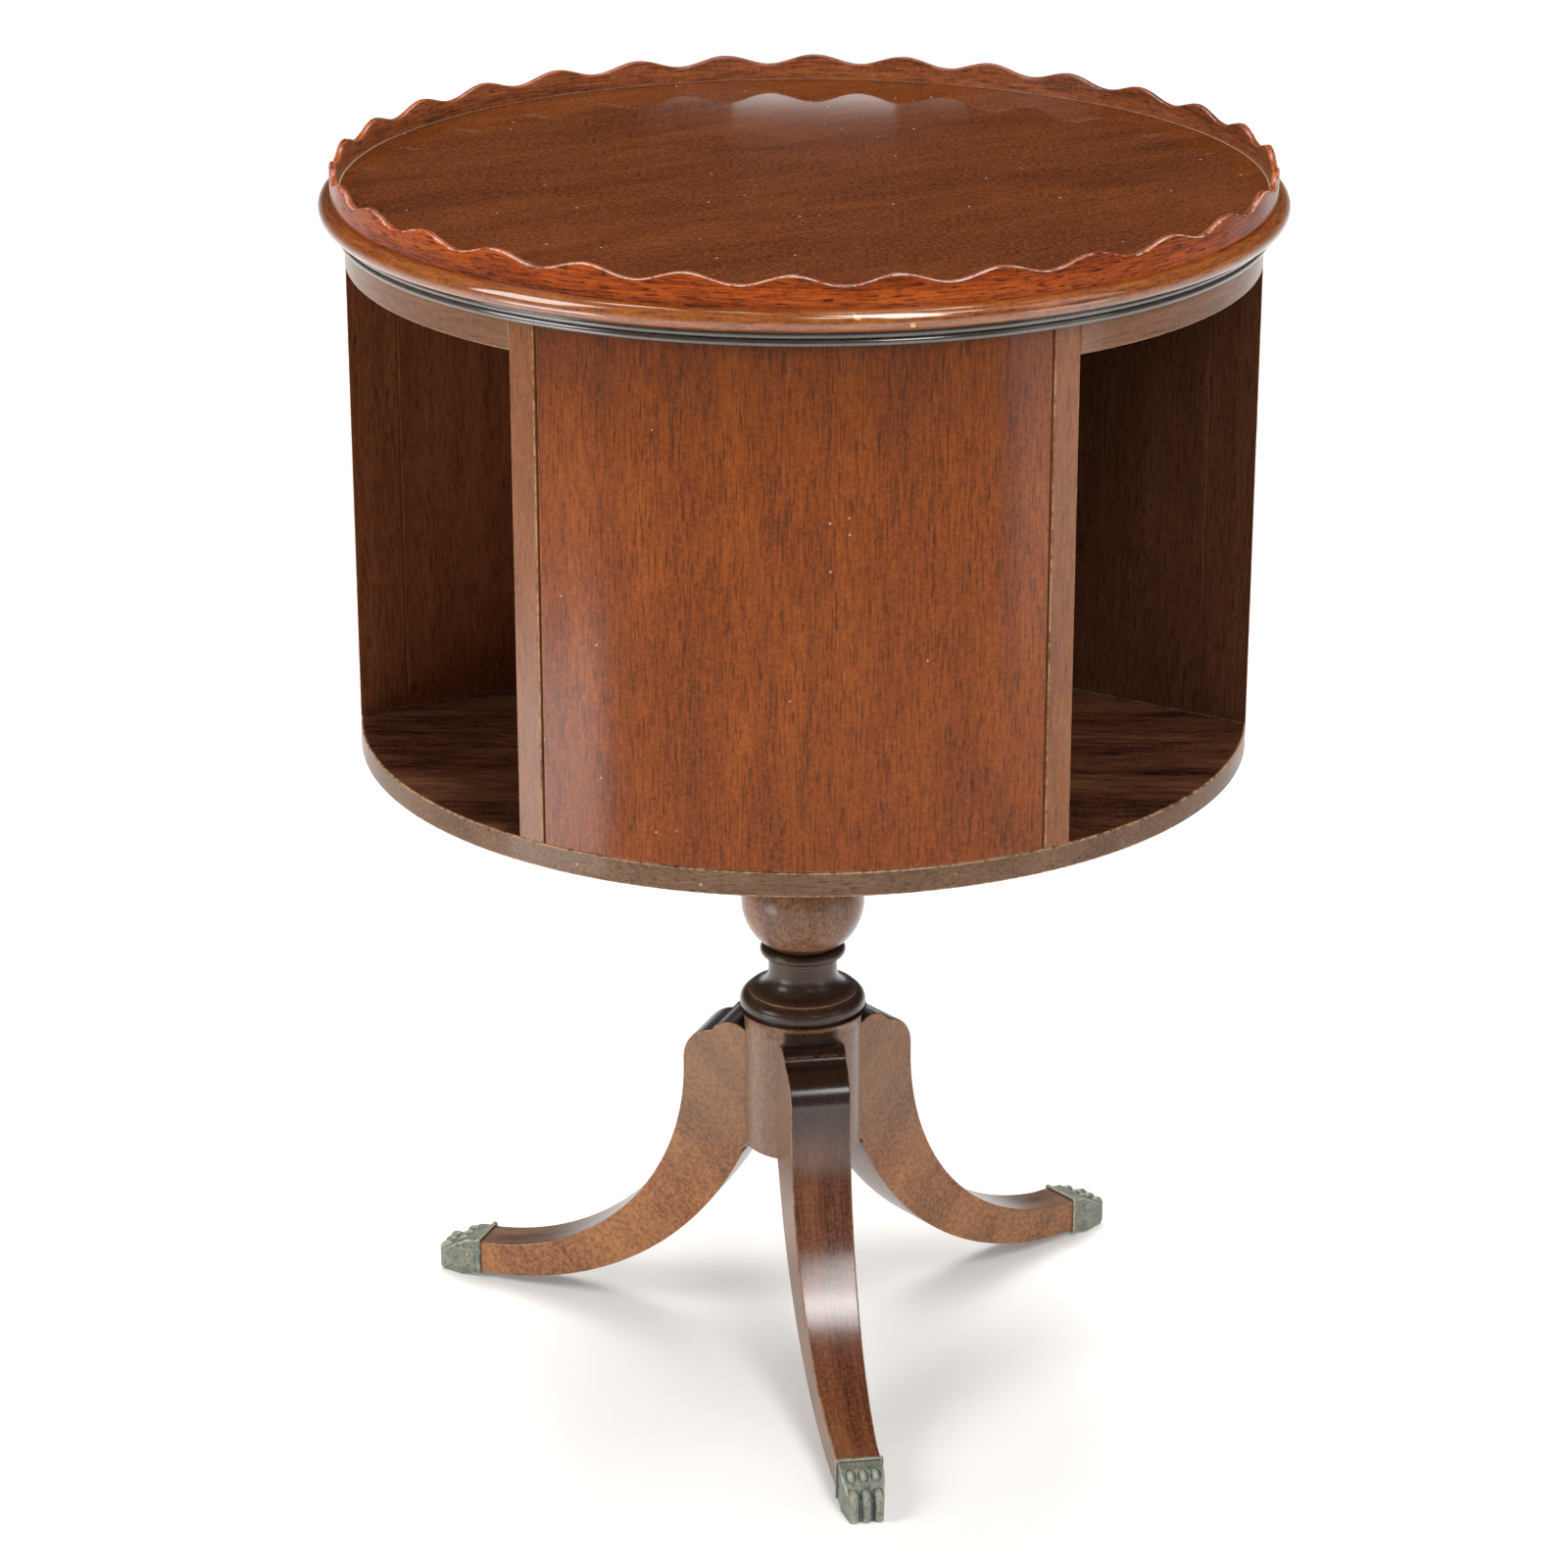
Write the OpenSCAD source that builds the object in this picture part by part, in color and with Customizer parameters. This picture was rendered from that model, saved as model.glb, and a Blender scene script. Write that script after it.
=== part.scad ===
// Revolving drum book table on a turned pedestal with three sabre legs.
// The drum has three curved panels and three open book compartments.
// Lengths are millimetres. Z is up, the floor is at zero and the front faces -Y.
// A bearing is measured in degrees from the front towards +X.

/* [Drum] */
// Radius of the drum over its curved panels
drum_r = 265; // [250:1:285]
// Clear height of a book compartment, from its floor to its ceiling
compartment_h = 293; // [240:1:330]
// Clear width of a book compartment between its two partitions
compartment_w = 221; // [210:1:236]
// How far a back board's face stands in front of the inner ends of its partitions
back_inset = 14.5; // [13:0.5:40]
// Thickness of the round board under the books
bottom_board_t = 15; // [12:0.5:20]
// Thickness of the round board over the books
upper_board_t = 15; // [12:0.5:18]
// Thickness of the six partitions
partition_t = 10; // [8:0.5:12]
// Thickness of the three back boards
back_board_t = 12; // [8:0.5:14]
// Thickness of the curved panels and of the frieze rails
shell_t = 12; // [9:0.5:14]
// Thickness of a stile, square to the partition that it covers
stile_t = 14.7; // [13:0.1:18]
// Depth of a stile, measured along the partition at the partition's side
stile_depth = 31; // [24:1:40]
// How far a frieze rail hangs below the ceiling of its compartment
frieze_drop = 12; // [6:1:20]
// Width of the groove between a stile and its panel
groove_w = 1.6; // [0.8:0.1:3]
// Depth of the groove between a stile and its panel
groove_d = 2.5; // [1:0.1:4]
// Height of a glue block behind a curved panel
glue_block_h = 40; // [20:1:80]
// Width and depth of a glue block
glue_block_w = 22; // [16:1:30]

/* [Top] */
// Thickness of the round top board
top_board_t = 15; // [13:0.5:20]
// Thickness of the rim moulding, which is also the roundness of its edge
rim_t = 12; // [10:0.5:12.5]
// How far the rim stands out past the drum
rim_overhang = 14.5; // [13:0.5:20]
// Width of the flat ledge and rounded edge outside the gallery
ledge_w = 7.2; // [6.5:0.1:8]
// Thickness of the scalloped gallery
gallery_t = 4.3; // [3:0.1:5]
// Height of the gallery's peaks above the ledge
gallery_h = 18; // [14:0.5:24]
// Depth of the scallops from peak to hollow
scallop_depth = 5.6; // [3:0.1:7]
// Number of scallops round the whole gallery
scallop_count = 30; // [24:3:36]
// Depth of the rebate that the gallery stands in
gallery_rebate = 5; // [3:0.5:7]
// Height of the double bead under the rim
bead_h = 9.4; // [8:0.1:10]
// Thickness of the bead strip behind its two beads
bead_back_t = 2.6; // [2:0.1:3]

/* [Pedestal] */
// Radius of the hub that the legs join
hub_r = 36.2; // [34:0.1:37.5]
// Height of the underside of the hub above the floor
hub_bottom_z = 133.5; // [130:0.5:136]
// Height of the lip on top of the hub, where the turned mouldings start
hub_top_z = 223.3; // [221.3:0.5:230.3]
// Greatest radius of the turned ball under the drum
ball_r = 37.8; // [36:0.1:39]
// Radius of the column's shoulder under the bearer disc
shoulder_r = 32; // [28:1:36]
// Height of the column's shoulder above the floor
shoulder_z = 376; // [372:1:386]
// Radius of the tenon on top of the column
tenon_r = 15; // [12:1:18]
// Length of the tenon on top of the column
tenon_l = 12; // [8:1:15]
// Radius of the bearer disc between the column and the swivel
bearer_r = 72; // [64:1:90]
// Thickness of the bearer disc
bearer_t = 18; // [16:1:24]
// How far the base stands turned from the drum's front panel, in degrees
base_turn = 10.2; // [0:0.1:60]

/* [Legs] */
// Distance from the axis to the outside of a leg's knee
knee_r = 72.7; // [70:0.1:76]
// Distance from the axis to the shoulder where the toe cap starts
cap_start_r = 218; // [214:1:226]
// Height of the underside of a leg above the floor at its lowest point
leg_clear_z = 4.8; // [4.2:0.1:6]
// Height of the upper edge of a leg above the floor beside the toe cap
ankle_top_z = 25.6; // [24.5:0.1:26]
// Radius of the long curve under a leg
sole_curve_r = 206; // [202:1:212]
// Thickness of a leg at the hub
leg_w_hub = 40; // [36:0.5:42]
// Thickness of a leg at the toe cap
leg_w_toe = 25.6; // [24:0.1:27]
// Radius of the round shoulder of the knee
knee_round_r = 21.5; // [18:0.5:24]
// Radius of the small roll above the knee
roll_r = 15; // [14:0.1:16]
// Radius of the hollow that parts the roll from the knee
hollow_r = 7; // [5:0.5:9]
// Depth of the dovetail that holds a leg
dovetail_d = 12; // [8:0.5:14]
// Width of the dovetail at its root
dovetail_w = 12; // [9:0.5:14]

/* [Toe caps] */
// Length of a toe cap from the leg's shoulder to the tips of the toes
cap_l = 31; // [29:0.5:36]
// Wall of a toe cap round the leg's end
cap_wall = 2.2; // [1.8:0.1:2.6]
// How far the toe cap's collar stands out from the cap
cap_collar = 1.3; // [0.8:0.1:2]
// Radius of the claw of a toe
toe_r = 2.7; // [2.4:0.1:3.2]
// Radius of the head of a toe cap nail
nail_head_r = 1.7; // [1.4:0.1:2.2]

/* [Swivel] */
// Radius of the two swivel plates
swivel_r = 56; // [52:1:60]
// Thickness of each swivel plate
swivel_plate_t = 2.5; // [2:0.1:3]
// Radius of a bearing ball
ball_bearing_r = 2.35; // [2:0.05:3]
// Number of bearing balls
ball_count = 16; // [8:1:20]
// Radius of the circle that the bearing balls run on
race_r = 32; // [28:1:35]
// Radius of the pivot bolt
bolt_r = 6; // [5:0.5:7]
// Radius of the washer under the pivot nut
washer_r = 14; // [13:0.5:18]

/* [Hidden] */
$fn = 96;

// Clearances
glue_gap = 0.05;        // between curved faces that are glued
ring_gap = 0.3;         // inside the rings that go round the top and the drum
socket_gap = 0.1;       // round a tenon, dovetail, screw or nail
running_gap = 0.05;     // between the pivot bolt and its bush
lift_gap = 0.3;         // between parts that turn past each other
far = 400;              // wider than any piece, for cutting shapes
tall = 1200;            // higher than the whole table
past = 1;               // how far a cutting shape runs past a face

// Bearings of the three panels, compartments and legs
third = 120;
mitre = third / 2;
PANEL_FRONT = 0;
PANEL_RIGHT = third;
PANEL_LEFT = 2 * third;
BOOKS_RIGHT = third / 2;
BOOKS_REAR = BOOKS_RIGHT + third;
BOOKS_LEFT = BOOKS_REAR + third;
LEG_BEARINGS = [base_turn, base_turn + third, base_turn + 2 * third];

// Heights of the swivel and the drum
bearer_top_z = shoulder_z + bearer_t;
lower_plate_top_z = bearer_top_z + swivel_plate_t;
swivel_gap = 2 * ball_bearing_r + lift_gap;
upper_plate_z = lower_plate_top_z + swivel_gap;
drum_z = upper_plate_z + swivel_plate_t;
shelf_z = drum_z + bottom_board_t;
ceiling_z = shelf_z + compartment_h;
carcase_top_z = ceiling_z + upper_board_t;
frieze_z = ceiling_z - frieze_drop;
back_face_s = compartment_w / 2 / tan(mitre) + back_inset;
stile_back_s = sqrt(pow(drum_r, 2) - pow(compartment_w / 2, 2)) - stile_depth;

// Radii and heights of the top
half_w = compartment_w / 2;
shell_in_r = drum_r - shell_t;
rim_r = drum_r + rim_overhang;
gallery_out_r = rim_r - ledge_w;
gallery_in_r = gallery_out_r - gallery_t;
nose_r = rim_t / 2;
ledge_z = carcase_top_z + rim_t;
gallery_z = ledge_z - gallery_rebate;
steps_per_scallop = 12;
gallery_joint = third / 4;

// Leg curves, in a plane with x away from the axis and y up
blade_r = cap_start_r + 6 - knee_r;
blade_x = knee_r + blade_r;
blade_z = ankle_top_z + blade_r;
sole_x = cap_start_r + 2;
sole_z = leg_clear_z + sole_curve_r;
knee_x = knee_r - knee_round_r;
knee_z = hub_top_z - 39.4;
roll_x = knee_x - 11.2;
roll_z = knee_z + 28.7 - roll_r;
roll_l = 9;
roll_end_z = roll_z + sqrt(pow(roll_r, 2) - pow(roll_l, 2));
hollow_out = 4.8;
hollow_reach = knee_round_r + hollow_r - 0.1;
hollow_x = knee_x + hollow_out;
hollow_z = knee_z + sqrt(pow(hollow_reach, 2) - pow(hollow_out, 2));
crease_x = knee_x + hollow_out * knee_round_r / hollow_reach;
dovetail_top_z = hub_top_z - 20;
leg_seat_z = hub_bottom_z - glue_gap;
leg_taper = (leg_w_hub - leg_w_toe) / 2 / (cap_start_r - hub_r);

// Toe cap sizes
cap_half_w = leg_w_toe / 2 + 0.2;
cap_top_z = ankle_top_z + 0.7;
cap_bottom_z = leg_clear_z - 1.5;
tongue_half_w = cap_half_w - cap_wall;
tongue_top_z = cap_top_z - cap_wall - 1;
tongue_bottom_z = cap_bottom_z + cap_wall + 1;
tongue_l = cap_l * 0.36;
toe_spread = (cap_half_w - toe_r) * 0.72;
sole_inset = 11;
claw_x = cap_start_r + cap_l - toe_r;
claw_h = 14;
knuckle_r = 2.9;
back_toe_r = toe_r - 0.5;
back_knuckle_x = cap_start_r + cap_l * 0.42;
back_knuckle_z = cap_top_z - 5.5;
nail_r = 0.9;
nail_l = 7;
nail_x = cap_start_r + 9;
nail_z = (cap_top_z + cap_bottom_z) / 2;

// Swivel fastenings
retainer_t = 2;
retainer_w = 12;
plate_screw_r = 2;
plate_screw_head_r = 4.2;
plate_screw_l = 14;
plate_screw_pcr = (race_r + retainer_w / 2 + swivel_r) / 2;
bush_r = bolt_r + 3;
bush_flange_r = bush_r + 4;
bush_flange_t = 1.5;
bolt_hold = 46;           // how far the bolt reaches down into the column
bolt_bottom_z = shoulder_z - bolt_hold;
washer_t = 2.5;
washer_z = shelf_z + bush_flange_t + lift_gap;
nut_z = washer_z + washer_t;
nut_t = 10;
nut_flats = 3.2 * bolt_r;
bolt_top_z = nut_z + nut_t + 3;

// Screws that hold the top board
top_screw_r = 2.2;
top_screw_head_r = 4.6;
top_screw_l = upper_board_t + top_board_t - 4;
top_screw_s = 150;
top_screw_inset = 40;
top_screw_t = half_w - top_screw_inset;

// Colours
mahogany = "#6b3020";
mahogany_dark = "#4a2015";
mahogany_red = "#8a3a1c";
inside_wood = "#3d1d13";
pine = "#9a7a4e";
black_bead = "#2f2523";
old_brass = "#6f7a68";
steel = "#8f9296";
brass = "#b08d4a";

// Turns what lies along +X to a bearing
module face(bearing) {
    rotate([0, 0, bearing - 90]) children();
}

// Puts a shape drawn on the +Y side of a compartment on either side
module on_side(side) {
    if (side < 0) mirror([0, 1, 0]) children();
    else children();
}

// A ring between two radii
module ring(inner_r, outer_r, z, h) {
    translate([0, 0, z]) difference() {
        cylinder(r = outer_r, h = h);
        translate([0, 0, -past]) cylinder(r = inner_r, h = h + 2 * past);
    }
}

// A countersunk screw with its head at the origin and its point up
module screw(head_r, shank_r, length) {
    rotate_extrude() polygon([
        [0, 0],
        [head_r, 0],
        [shank_r, head_r - shank_r],
        [shank_r, length - shank_r],
        [0, length]
    ]);
}

// The hole for such a screw, a gap wider and open at the head's side
module screw_hole(head_r, shank_r, length) {
    rotate_extrude() polygon([
        [0, -socket_gap],
        [head_r + socket_gap, -socket_gap],
        [head_r + socket_gap, 0],
        [shank_r + socket_gap, head_r - shank_r],
        [shank_r + socket_gap, length],
        [0, length + socket_gap]
    ]);
}

// Column: hub, beads, cove, collar, ball and neck, turned from one piece

module column_outline() {
    lip_out = 3.1;
    flare_h = 8;
    flare_r = (pow(lip_out, 2) + pow(flare_h, 2)) / 2 / lip_out;
    groove_h = 3;
    ovolo_z = hub_top_z + groove_h;
    ovolo_r = hub_r + 2.5;
    ovolo_face_h = 1.7;
    ovolo_round_r = 6.5;
    ovolo_top_z = ovolo_z + ovolo_face_h + ovolo_round_r;
    fillet_r = hub_r - 2.8;
    cove_z = ovolo_top_z + 1;
    cove_r = 12.2;
    neck_r = fillet_r - cove_r;
    neck_top_z = cove_z + cove_r + 7.8;
    neck_ring_z = neck_top_z + 1;
    collar_z = neck_top_z + 5.9;
    collar_r = 26.4;
    collar_tube_r = 3.4;
    ball_curve_r = 36;
    ball_below = 30.2;
    ball_above = 28;
    ball_base_z = collar_z + collar_tube_r - 0.2;
    ball_z = ball_base_z + ball_below;
    upper_collar_z = ball_z + ball_above;
    upper_collar_r = 24;
    upper_collar_h = 5;
    shoulder_flare_r = 14;
    shoulder_flare_z = shoulder_z - 8;
    upper_neck_r = shoulder_r - 1 - shoulder_flare_r;
    difference() {
        union() {
            // Hub, which flares out to a lip
            translate([0, hub_bottom_z]) square([hub_r, hub_top_z - hub_bottom_z]);
            difference() {
                translate([0, hub_top_z - flare_h]) square([hub_r + lip_out, flare_h]);
                translate([hub_r + flare_r, hub_top_z - flare_h]) circle(r = flare_r);
            }
            translate([0, hub_top_z - 1]) square([hub_r, groove_h + 2]);
            // Ovolo with a fillet on top
            translate([0, ovolo_z]) square([ovolo_r, ovolo_face_h]);
            translate([0, ovolo_z]) square([ovolo_r - ovolo_round_r, ovolo_face_h + ovolo_round_r]);
            intersection() {
                translate([ovolo_r - ovolo_round_r, ovolo_z + ovolo_face_h]) circle(r = ovolo_round_r);
                translate([0, ovolo_z + ovolo_face_h - 0.5]) square([ovolo_r, ovolo_round_r + 0.5]);
            }
            translate([0, ovolo_top_z - 0.5]) square([fillet_r, cove_z - ovolo_top_z + 0.5]);
            // Cove up to the neck, which a fine groove and a ring finish
            difference() {
                translate([0, cove_z - 0.5]) square([fillet_r, cove_r + 0.5]);
                translate([fillet_r, cove_z + cove_r]) circle(r = cove_r);
            }
            translate([0, cove_z + cove_r - 1]) square([neck_r, neck_top_z - cove_z - cove_r + 1]);
            translate([0, neck_top_z - 1]) square([neck_r - 0.8, 3]);
            translate([0, neck_ring_z]) square([neck_r + 1, collar_z - neck_ring_z]);
            // Collar and ball
            translate([0, collar_z - collar_tube_r]) square([collar_r - collar_tube_r, 2 * collar_tube_r]);
            translate([collar_r - collar_tube_r, collar_z]) circle(r = collar_tube_r);
            intersection() {
                translate([ball_r - ball_curve_r, ball_z]) circle(r = ball_curve_r);
                translate([0, ball_base_z - 0.5]) square([ball_r + 1, upper_collar_z - ball_base_z]);
            }
            // Upper collar, neck and the shoulder that carries the bearer disc
            translate([0, upper_collar_z - 1]) square([upper_collar_r, upper_collar_h]);
            translate([upper_collar_r, upper_collar_z - 1 + upper_collar_h / 2])
                circle(r = upper_collar_h / 2);
            translate([0, upper_collar_z]) square([upper_neck_r, shoulder_flare_z - upper_collar_z]);
            difference() {
                translate([0, shoulder_flare_z - shoulder_flare_r])
                    square([shoulder_r - 1, shoulder_flare_r]);
                translate([shoulder_r - 1, shoulder_flare_z - shoulder_flare_r])
                    circle(r = shoulder_flare_r);
            }
            translate([0, shoulder_flare_z - 0.5]) square([shoulder_r, shoulder_z - shoulder_flare_z + 0.5]);
            translate([0, shoulder_z - 1]) square([tenon_r, tenon_l + 1]);
        }
        translate([-far, 0]) square([far, 2 * far]);
    }
}

module dovetail(gap) {
    root = dovetail_w / 2 + gap;
    tail = root + 2;
    depth = dovetail_d + gap;
    polygon([
        [hub_r + 8, root],
        [hub_r, root],
        [hub_r - depth, tail],
        [hub_r - depth, -tail],
        [hub_r, -root],
        [hub_r + 8, -root]
    ]);
}

module column() {
    color(mahogany_dark) difference() {
        rotate_extrude() column_outline();
        for (bearing = LEG_BEARINGS) {
            face(bearing) translate([0, 0, hub_bottom_z - past])
                linear_extrude(past + dovetail_top_z - hub_bottom_z + socket_gap) dovetail(socket_gap);
        }
        translate([0, 0, bolt_bottom_z]) cylinder(r = bolt_r + running_gap, h = far);
    }
}

// Legs and toe caps

module leg_side() {
    difference() {
        union() {
            // Sabre blade between the sole curve and the upper curve
            intersection() {
                translate([sole_x, sole_z]) circle(r = sole_curve_r);
                square([cap_start_r, blade_z]);
            }
            // Knee up to its round shoulder
            translate([0, blade_z - 1]) square([knee_r, knee_z - blade_z + 1]);
            translate([0, knee_z - 1]) square([knee_x, knee_round_r + 1]);
            intersection() {
                translate([knee_x, knee_z]) circle(r = knee_round_r);
                translate([0, knee_z - 0.5]) square([knee_r, knee_round_r + 1]);
            }
            // Small roll against the hub
            intersection() {
                translate([roll_x, roll_z]) circle(r = roll_r);
                translate([0, roll_z]) square([roll_x + roll_l, roll_r + 1]);
            }
            // Hollow between the roll's arris and the knee
            difference() {
                translate([roll_x, knee_z]) square([crease_x - roll_x, roll_end_z - knee_z]);
                translate([hollow_x, hollow_z]) circle(r = hollow_r);
            }
        }
        translate([blade_x, blade_z]) circle(r = blade_r);
    }
}

module leg_plan() {
    inner_half = leg_w_hub / 2 + leg_taper * hub_r;
    outer_half = leg_w_toe / 2;
    polygon([[0, inner_half], [cap_start_r, outer_half], [cap_start_r, -outer_half], [0, -inner_half]]);
}

module leg_tongue(gap) {
    translate([cap_start_r - past, -tongue_half_w - gap, tongue_bottom_z - gap])
        cube([past + tongue_l + gap, 2 * (tongue_half_w + gap), tongue_top_z - tongue_bottom_z + 2 * gap]);
}

// Places on both sides of a cap, with +Z pointing into it
module nail_places() {
    for (side = [-1, 1]) {
        translate([nail_x, side * cap_half_w, nail_z]) rotate([90 * side, 0, 0]) children();
    }
}

module nail_holes() {
    nail_places() translate([0, 0, -cap_wall])
        cylinder(r = nail_r + glue_gap, h = cap_wall + nail_l + glue_gap);
}

module leg(bearing) {
    color(mahogany) face(bearing) {
        difference() {
            union() {
                intersection() {
                    rotate([90, 0, 0]) translate([0, 0, -far / 2]) linear_extrude(far) leg_side();
                    linear_extrude(far) leg_plan();
                }
                leg_tongue(0);
            }
            translate([0, 0, leg_seat_z]) cylinder(r = hub_r + glue_gap, h = far);
            nail_holes();
        }
        translate([0, 0, leg_seat_z]) linear_extrude(dovetail_top_z - leg_seat_z) intersection() {
            dovetail(0);
            circle(r = hub_r + 2);
        }
    }
}

// Side outline of a toe cap: flat sole, upright front and a back that slopes down
module cap_side() {
    polygon([
        [cap_start_r, cap_bottom_z],
        [cap_start_r + sole_inset, 0],
        [claw_x, 0],
        [claw_x, claw_h],
        [cap_start_r + cap_l * 0.69, claw_h + 4.8],
        [cap_start_r + cap_l * 0.36, cap_top_z - 1.2],
        [cap_start_r, cap_top_z]
    ]);
}

module cap_plan() {
    taper_x = cap_start_r + cap_l * 0.45;
    front_half = toe_spread + toe_r;
    polygon([
        [cap_start_r, cap_half_w],
        [taper_x, cap_half_w],
        [claw_x, front_half],
        [claw_x, -front_half],
        [taper_x, -cap_half_w],
        [cap_start_r, -cap_half_w]
    ]);
}

// A knuckle is a disc with a round edge of its own half width, and stands along the toe
module knuckle(x, y, z, edge_r) {
    translate([x, y, z]) rotate([90, 0, 0]) rotate_extrude() union() {
        translate([0, -edge_r]) square([knuckle_r, 2 * edge_r]);
        intersection() {
            translate([knuckle_r, 0]) circle(r = edge_r);
            translate([knuckle_r - 0.5, -edge_r]) square([edge_r + 1, 2 * edge_r]);
        }
    }
}

// A toe is an upright claw that turns back over a knuckle, with a second knuckle behind
module toe(y) {
    translate([claw_x, y, toe_r]) sphere(r = toe_r);
    translate([claw_x, y, toe_r]) cylinder(r = toe_r, h = claw_h - toe_r);
    knuckle(claw_x - knuckle_r, y, claw_h, toe_r);
    knuckle(back_knuckle_x, y, back_knuckle_z, back_toe_r);
}

module toe_cap(bearing) {
    collar_l = 2.6;
    collar_z = cap_bottom_z - 1;
    color(old_brass) face(bearing) difference() {
        union() {
            intersection() {
                rotate([90, 0, 0]) translate([0, 0, -far / 2]) linear_extrude(far) cap_side();
                linear_extrude(far) cap_plan();
            }
            translate([cap_start_r, -cap_half_w - cap_collar, collar_z])
                cube([collar_l, 2 * (cap_half_w + cap_collar), cap_top_z + cap_collar - collar_z]);
            for (y = [-toe_spread, 0, toe_spread]) toe(y);
        }
        leg_tongue(socket_gap);
        nail_holes();
    }
}

module toe_cap_nails() {
    color(brass) for (bearing = LEG_BEARINGS) face(bearing) nail_places() rotate_extrude() union() {
        intersection() {
            translate([0, nail_head_r * 0.6]) circle(r = nail_head_r * 1.166);
            translate([0, -nail_head_r]) square([nail_head_r, nail_head_r]);
        }
        square([nail_r, nail_l]);
    }
}

// Swivel between the pedestal and the drum

module bearer_disc() {
    color(mahogany_dark) difference() {
        translate([0, 0, shoulder_z]) cylinder(r = bearer_r, h = bearer_t);
        translate([0, 0, shoulder_z - past]) cylinder(r = tenon_r + glue_gap, h = past + tenon_l + socket_gap);
        translate([0, 0, shoulder_z]) cylinder(r = bolt_r + running_gap, h = far);
        lower_screw_places() plate_screw_hole();
    }
}

module plate(z, hole_r) {
    difference() {
        translate([0, 0, z]) cylinder(r = swivel_r, h = swivel_plate_t);
        translate([0, 0, z - past]) cylinder(r = hole_r, h = swivel_plate_t + 2 * past);
    }
}

module lower_screw_places() {
    for (turn = [45:90:315]) rotate([0, 0, turn]) translate([plate_screw_pcr, 0, lower_plate_top_z])
        mirror([0, 0, 1]) children();
}

module upper_screw_places() {
    for (turn = [0:90:270]) rotate([0, 0, turn]) translate([plate_screw_pcr, 0, upper_plate_z])
        children();
}

module plate_screw_hole() {
    screw_hole(plate_screw_head_r, plate_screw_r, plate_screw_l);
}

module plate_screw() {
    screw(plate_screw_head_r, plate_screw_r, plate_screw_l);
}

module swivel_lower_plate() {
    color(steel) difference() {
        plate(bearer_top_z, bolt_r + running_gap);
        lower_screw_places() plate_screw_hole();
    }
}

module lower_plate_screws() {
    color(steel) lower_screw_places() plate_screw();
}

module swivel_upper_plate() {
    color(steel) difference() {
        plate(upper_plate_z, bush_r);
        upper_screw_places() plate_screw_hole();
    }
}

module upper_plate_screws() {
    color(steel) upper_screw_places() plate_screw();
}

module ball_places() {
    for (i = [0:ball_count - 1]) rotate([0, 0, i * 360 / ball_count])
        translate([race_r, 0, lower_plate_top_z + ball_bearing_r]) children();
}

module ball_retainer() {
    color(brass) difference() {
        ring(race_r - retainer_w / 2, race_r + retainer_w / 2, lower_plate_top_z, retainer_t);
        ball_places() cylinder(r = ball_bearing_r + socket_gap, h = far, center = true);
    }
}

module bearing_balls() {
    color(steel) ball_places() sphere(r = ball_bearing_r);
}

module pivot_bolt() {
    color(steel) translate([0, 0, bolt_bottom_z]) cylinder(r = bolt_r, h = bolt_top_z - bolt_bottom_z);
}

module pivot_washer() {
    color(steel) ring(bolt_r + running_gap, washer_r, washer_z, washer_t);
}

module pivot_nut() {
    color(steel) translate([0, 0, nut_z]) difference() {
        cylinder(r = nut_flats / sqrt(3), h = nut_t, $fn = 6);
        translate([0, 0, -past]) cylinder(r = bolt_r + running_gap, h = nut_t + 2 * past);
    }
}

module pivot_bush() {
    color(brass) difference() {
        union() {
            translate([0, 0, drum_z]) cylinder(r = bush_r, h = bottom_board_t);
            translate([0, 0, shelf_z]) cylinder(r = bush_flange_r, h = bush_flange_t);
        }
        translate([0, 0, drum_z - past]) cylinder(r = bolt_r + running_gap, h = far);
    }
}

// Carcase of the drum

module bottom_board() {
    color(mahogany) difference() {
        translate([0, 0, drum_z]) cylinder(r = drum_r, h = bottom_board_t);
        translate([0, 0, drum_z - past]) cylinder(r = bush_r + glue_gap, h = far);
        upper_screw_places() plate_screw_hole();
    }
}

// A partition runs from the mitre behind its panel to the back of its stile
module partition(bearing, side) {
    outer_t = half_w + partition_t;
    color(inside_wood) face(bearing) on_side(side) translate([0, 0, shelf_z]) linear_extrude(compartment_h)
        polygon([
            [half_w / tan(mitre), half_w],
            [outer_t / tan(mitre), outer_t],
            [stile_back_s, outer_t],
            [stile_back_s, half_w]
        ]);
}

module back_board(bearing) {
    color(inside_wood) face(bearing) translate([back_face_s - back_board_t, -half_w, shelf_z])
        cube([back_board_t, compartment_w, compartment_h]);
}

module stile_plan() {
    translate([stile_back_s, half_w]) square([far, stile_t]);
}

module stile(bearing, side) {
    color(mahogany) intersection() {
        face(bearing) on_side(side) translate([0, 0, shelf_z])
            linear_extrude(carcase_top_z - shelf_z) stile_plan();
        cylinder(r = drum_r, h = tall);
    }
}

// The wedge between two stiles, which starts at the joint or a gap away from it
module panel_wedge(gap) {
    apex = (half_w + stile_t + gap) / sin(mitre);
    polygon([
        [apex, 0],
        [apex + far * cos(mitre), far * sin(mitre)],
        [apex + far * cos(mitre), -far * sin(mitre)]
    ]);
}

module curved_panel(bearing) {
    panel_h = carcase_top_z - shelf_z;
    color(mahogany) face(bearing) union() {
        intersection() {
            ring(shell_in_r, drum_r - groove_d, shelf_z, panel_h);
            linear_extrude(tall) panel_wedge(0);
        }
        intersection() {
            ring(drum_r - 2 * groove_d, drum_r, shelf_z, panel_h);
            linear_extrude(tall) panel_wedge(groove_w);
        }
    }
}

module frieze(bearing) {
    color(mahogany) face(bearing) intersection() {
        ring(shell_in_r, drum_r, frieze_z, carcase_top_z - frieze_z);
        translate([0, -half_w, 0]) cube([far, compartment_w, tall]);
    }
}

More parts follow.
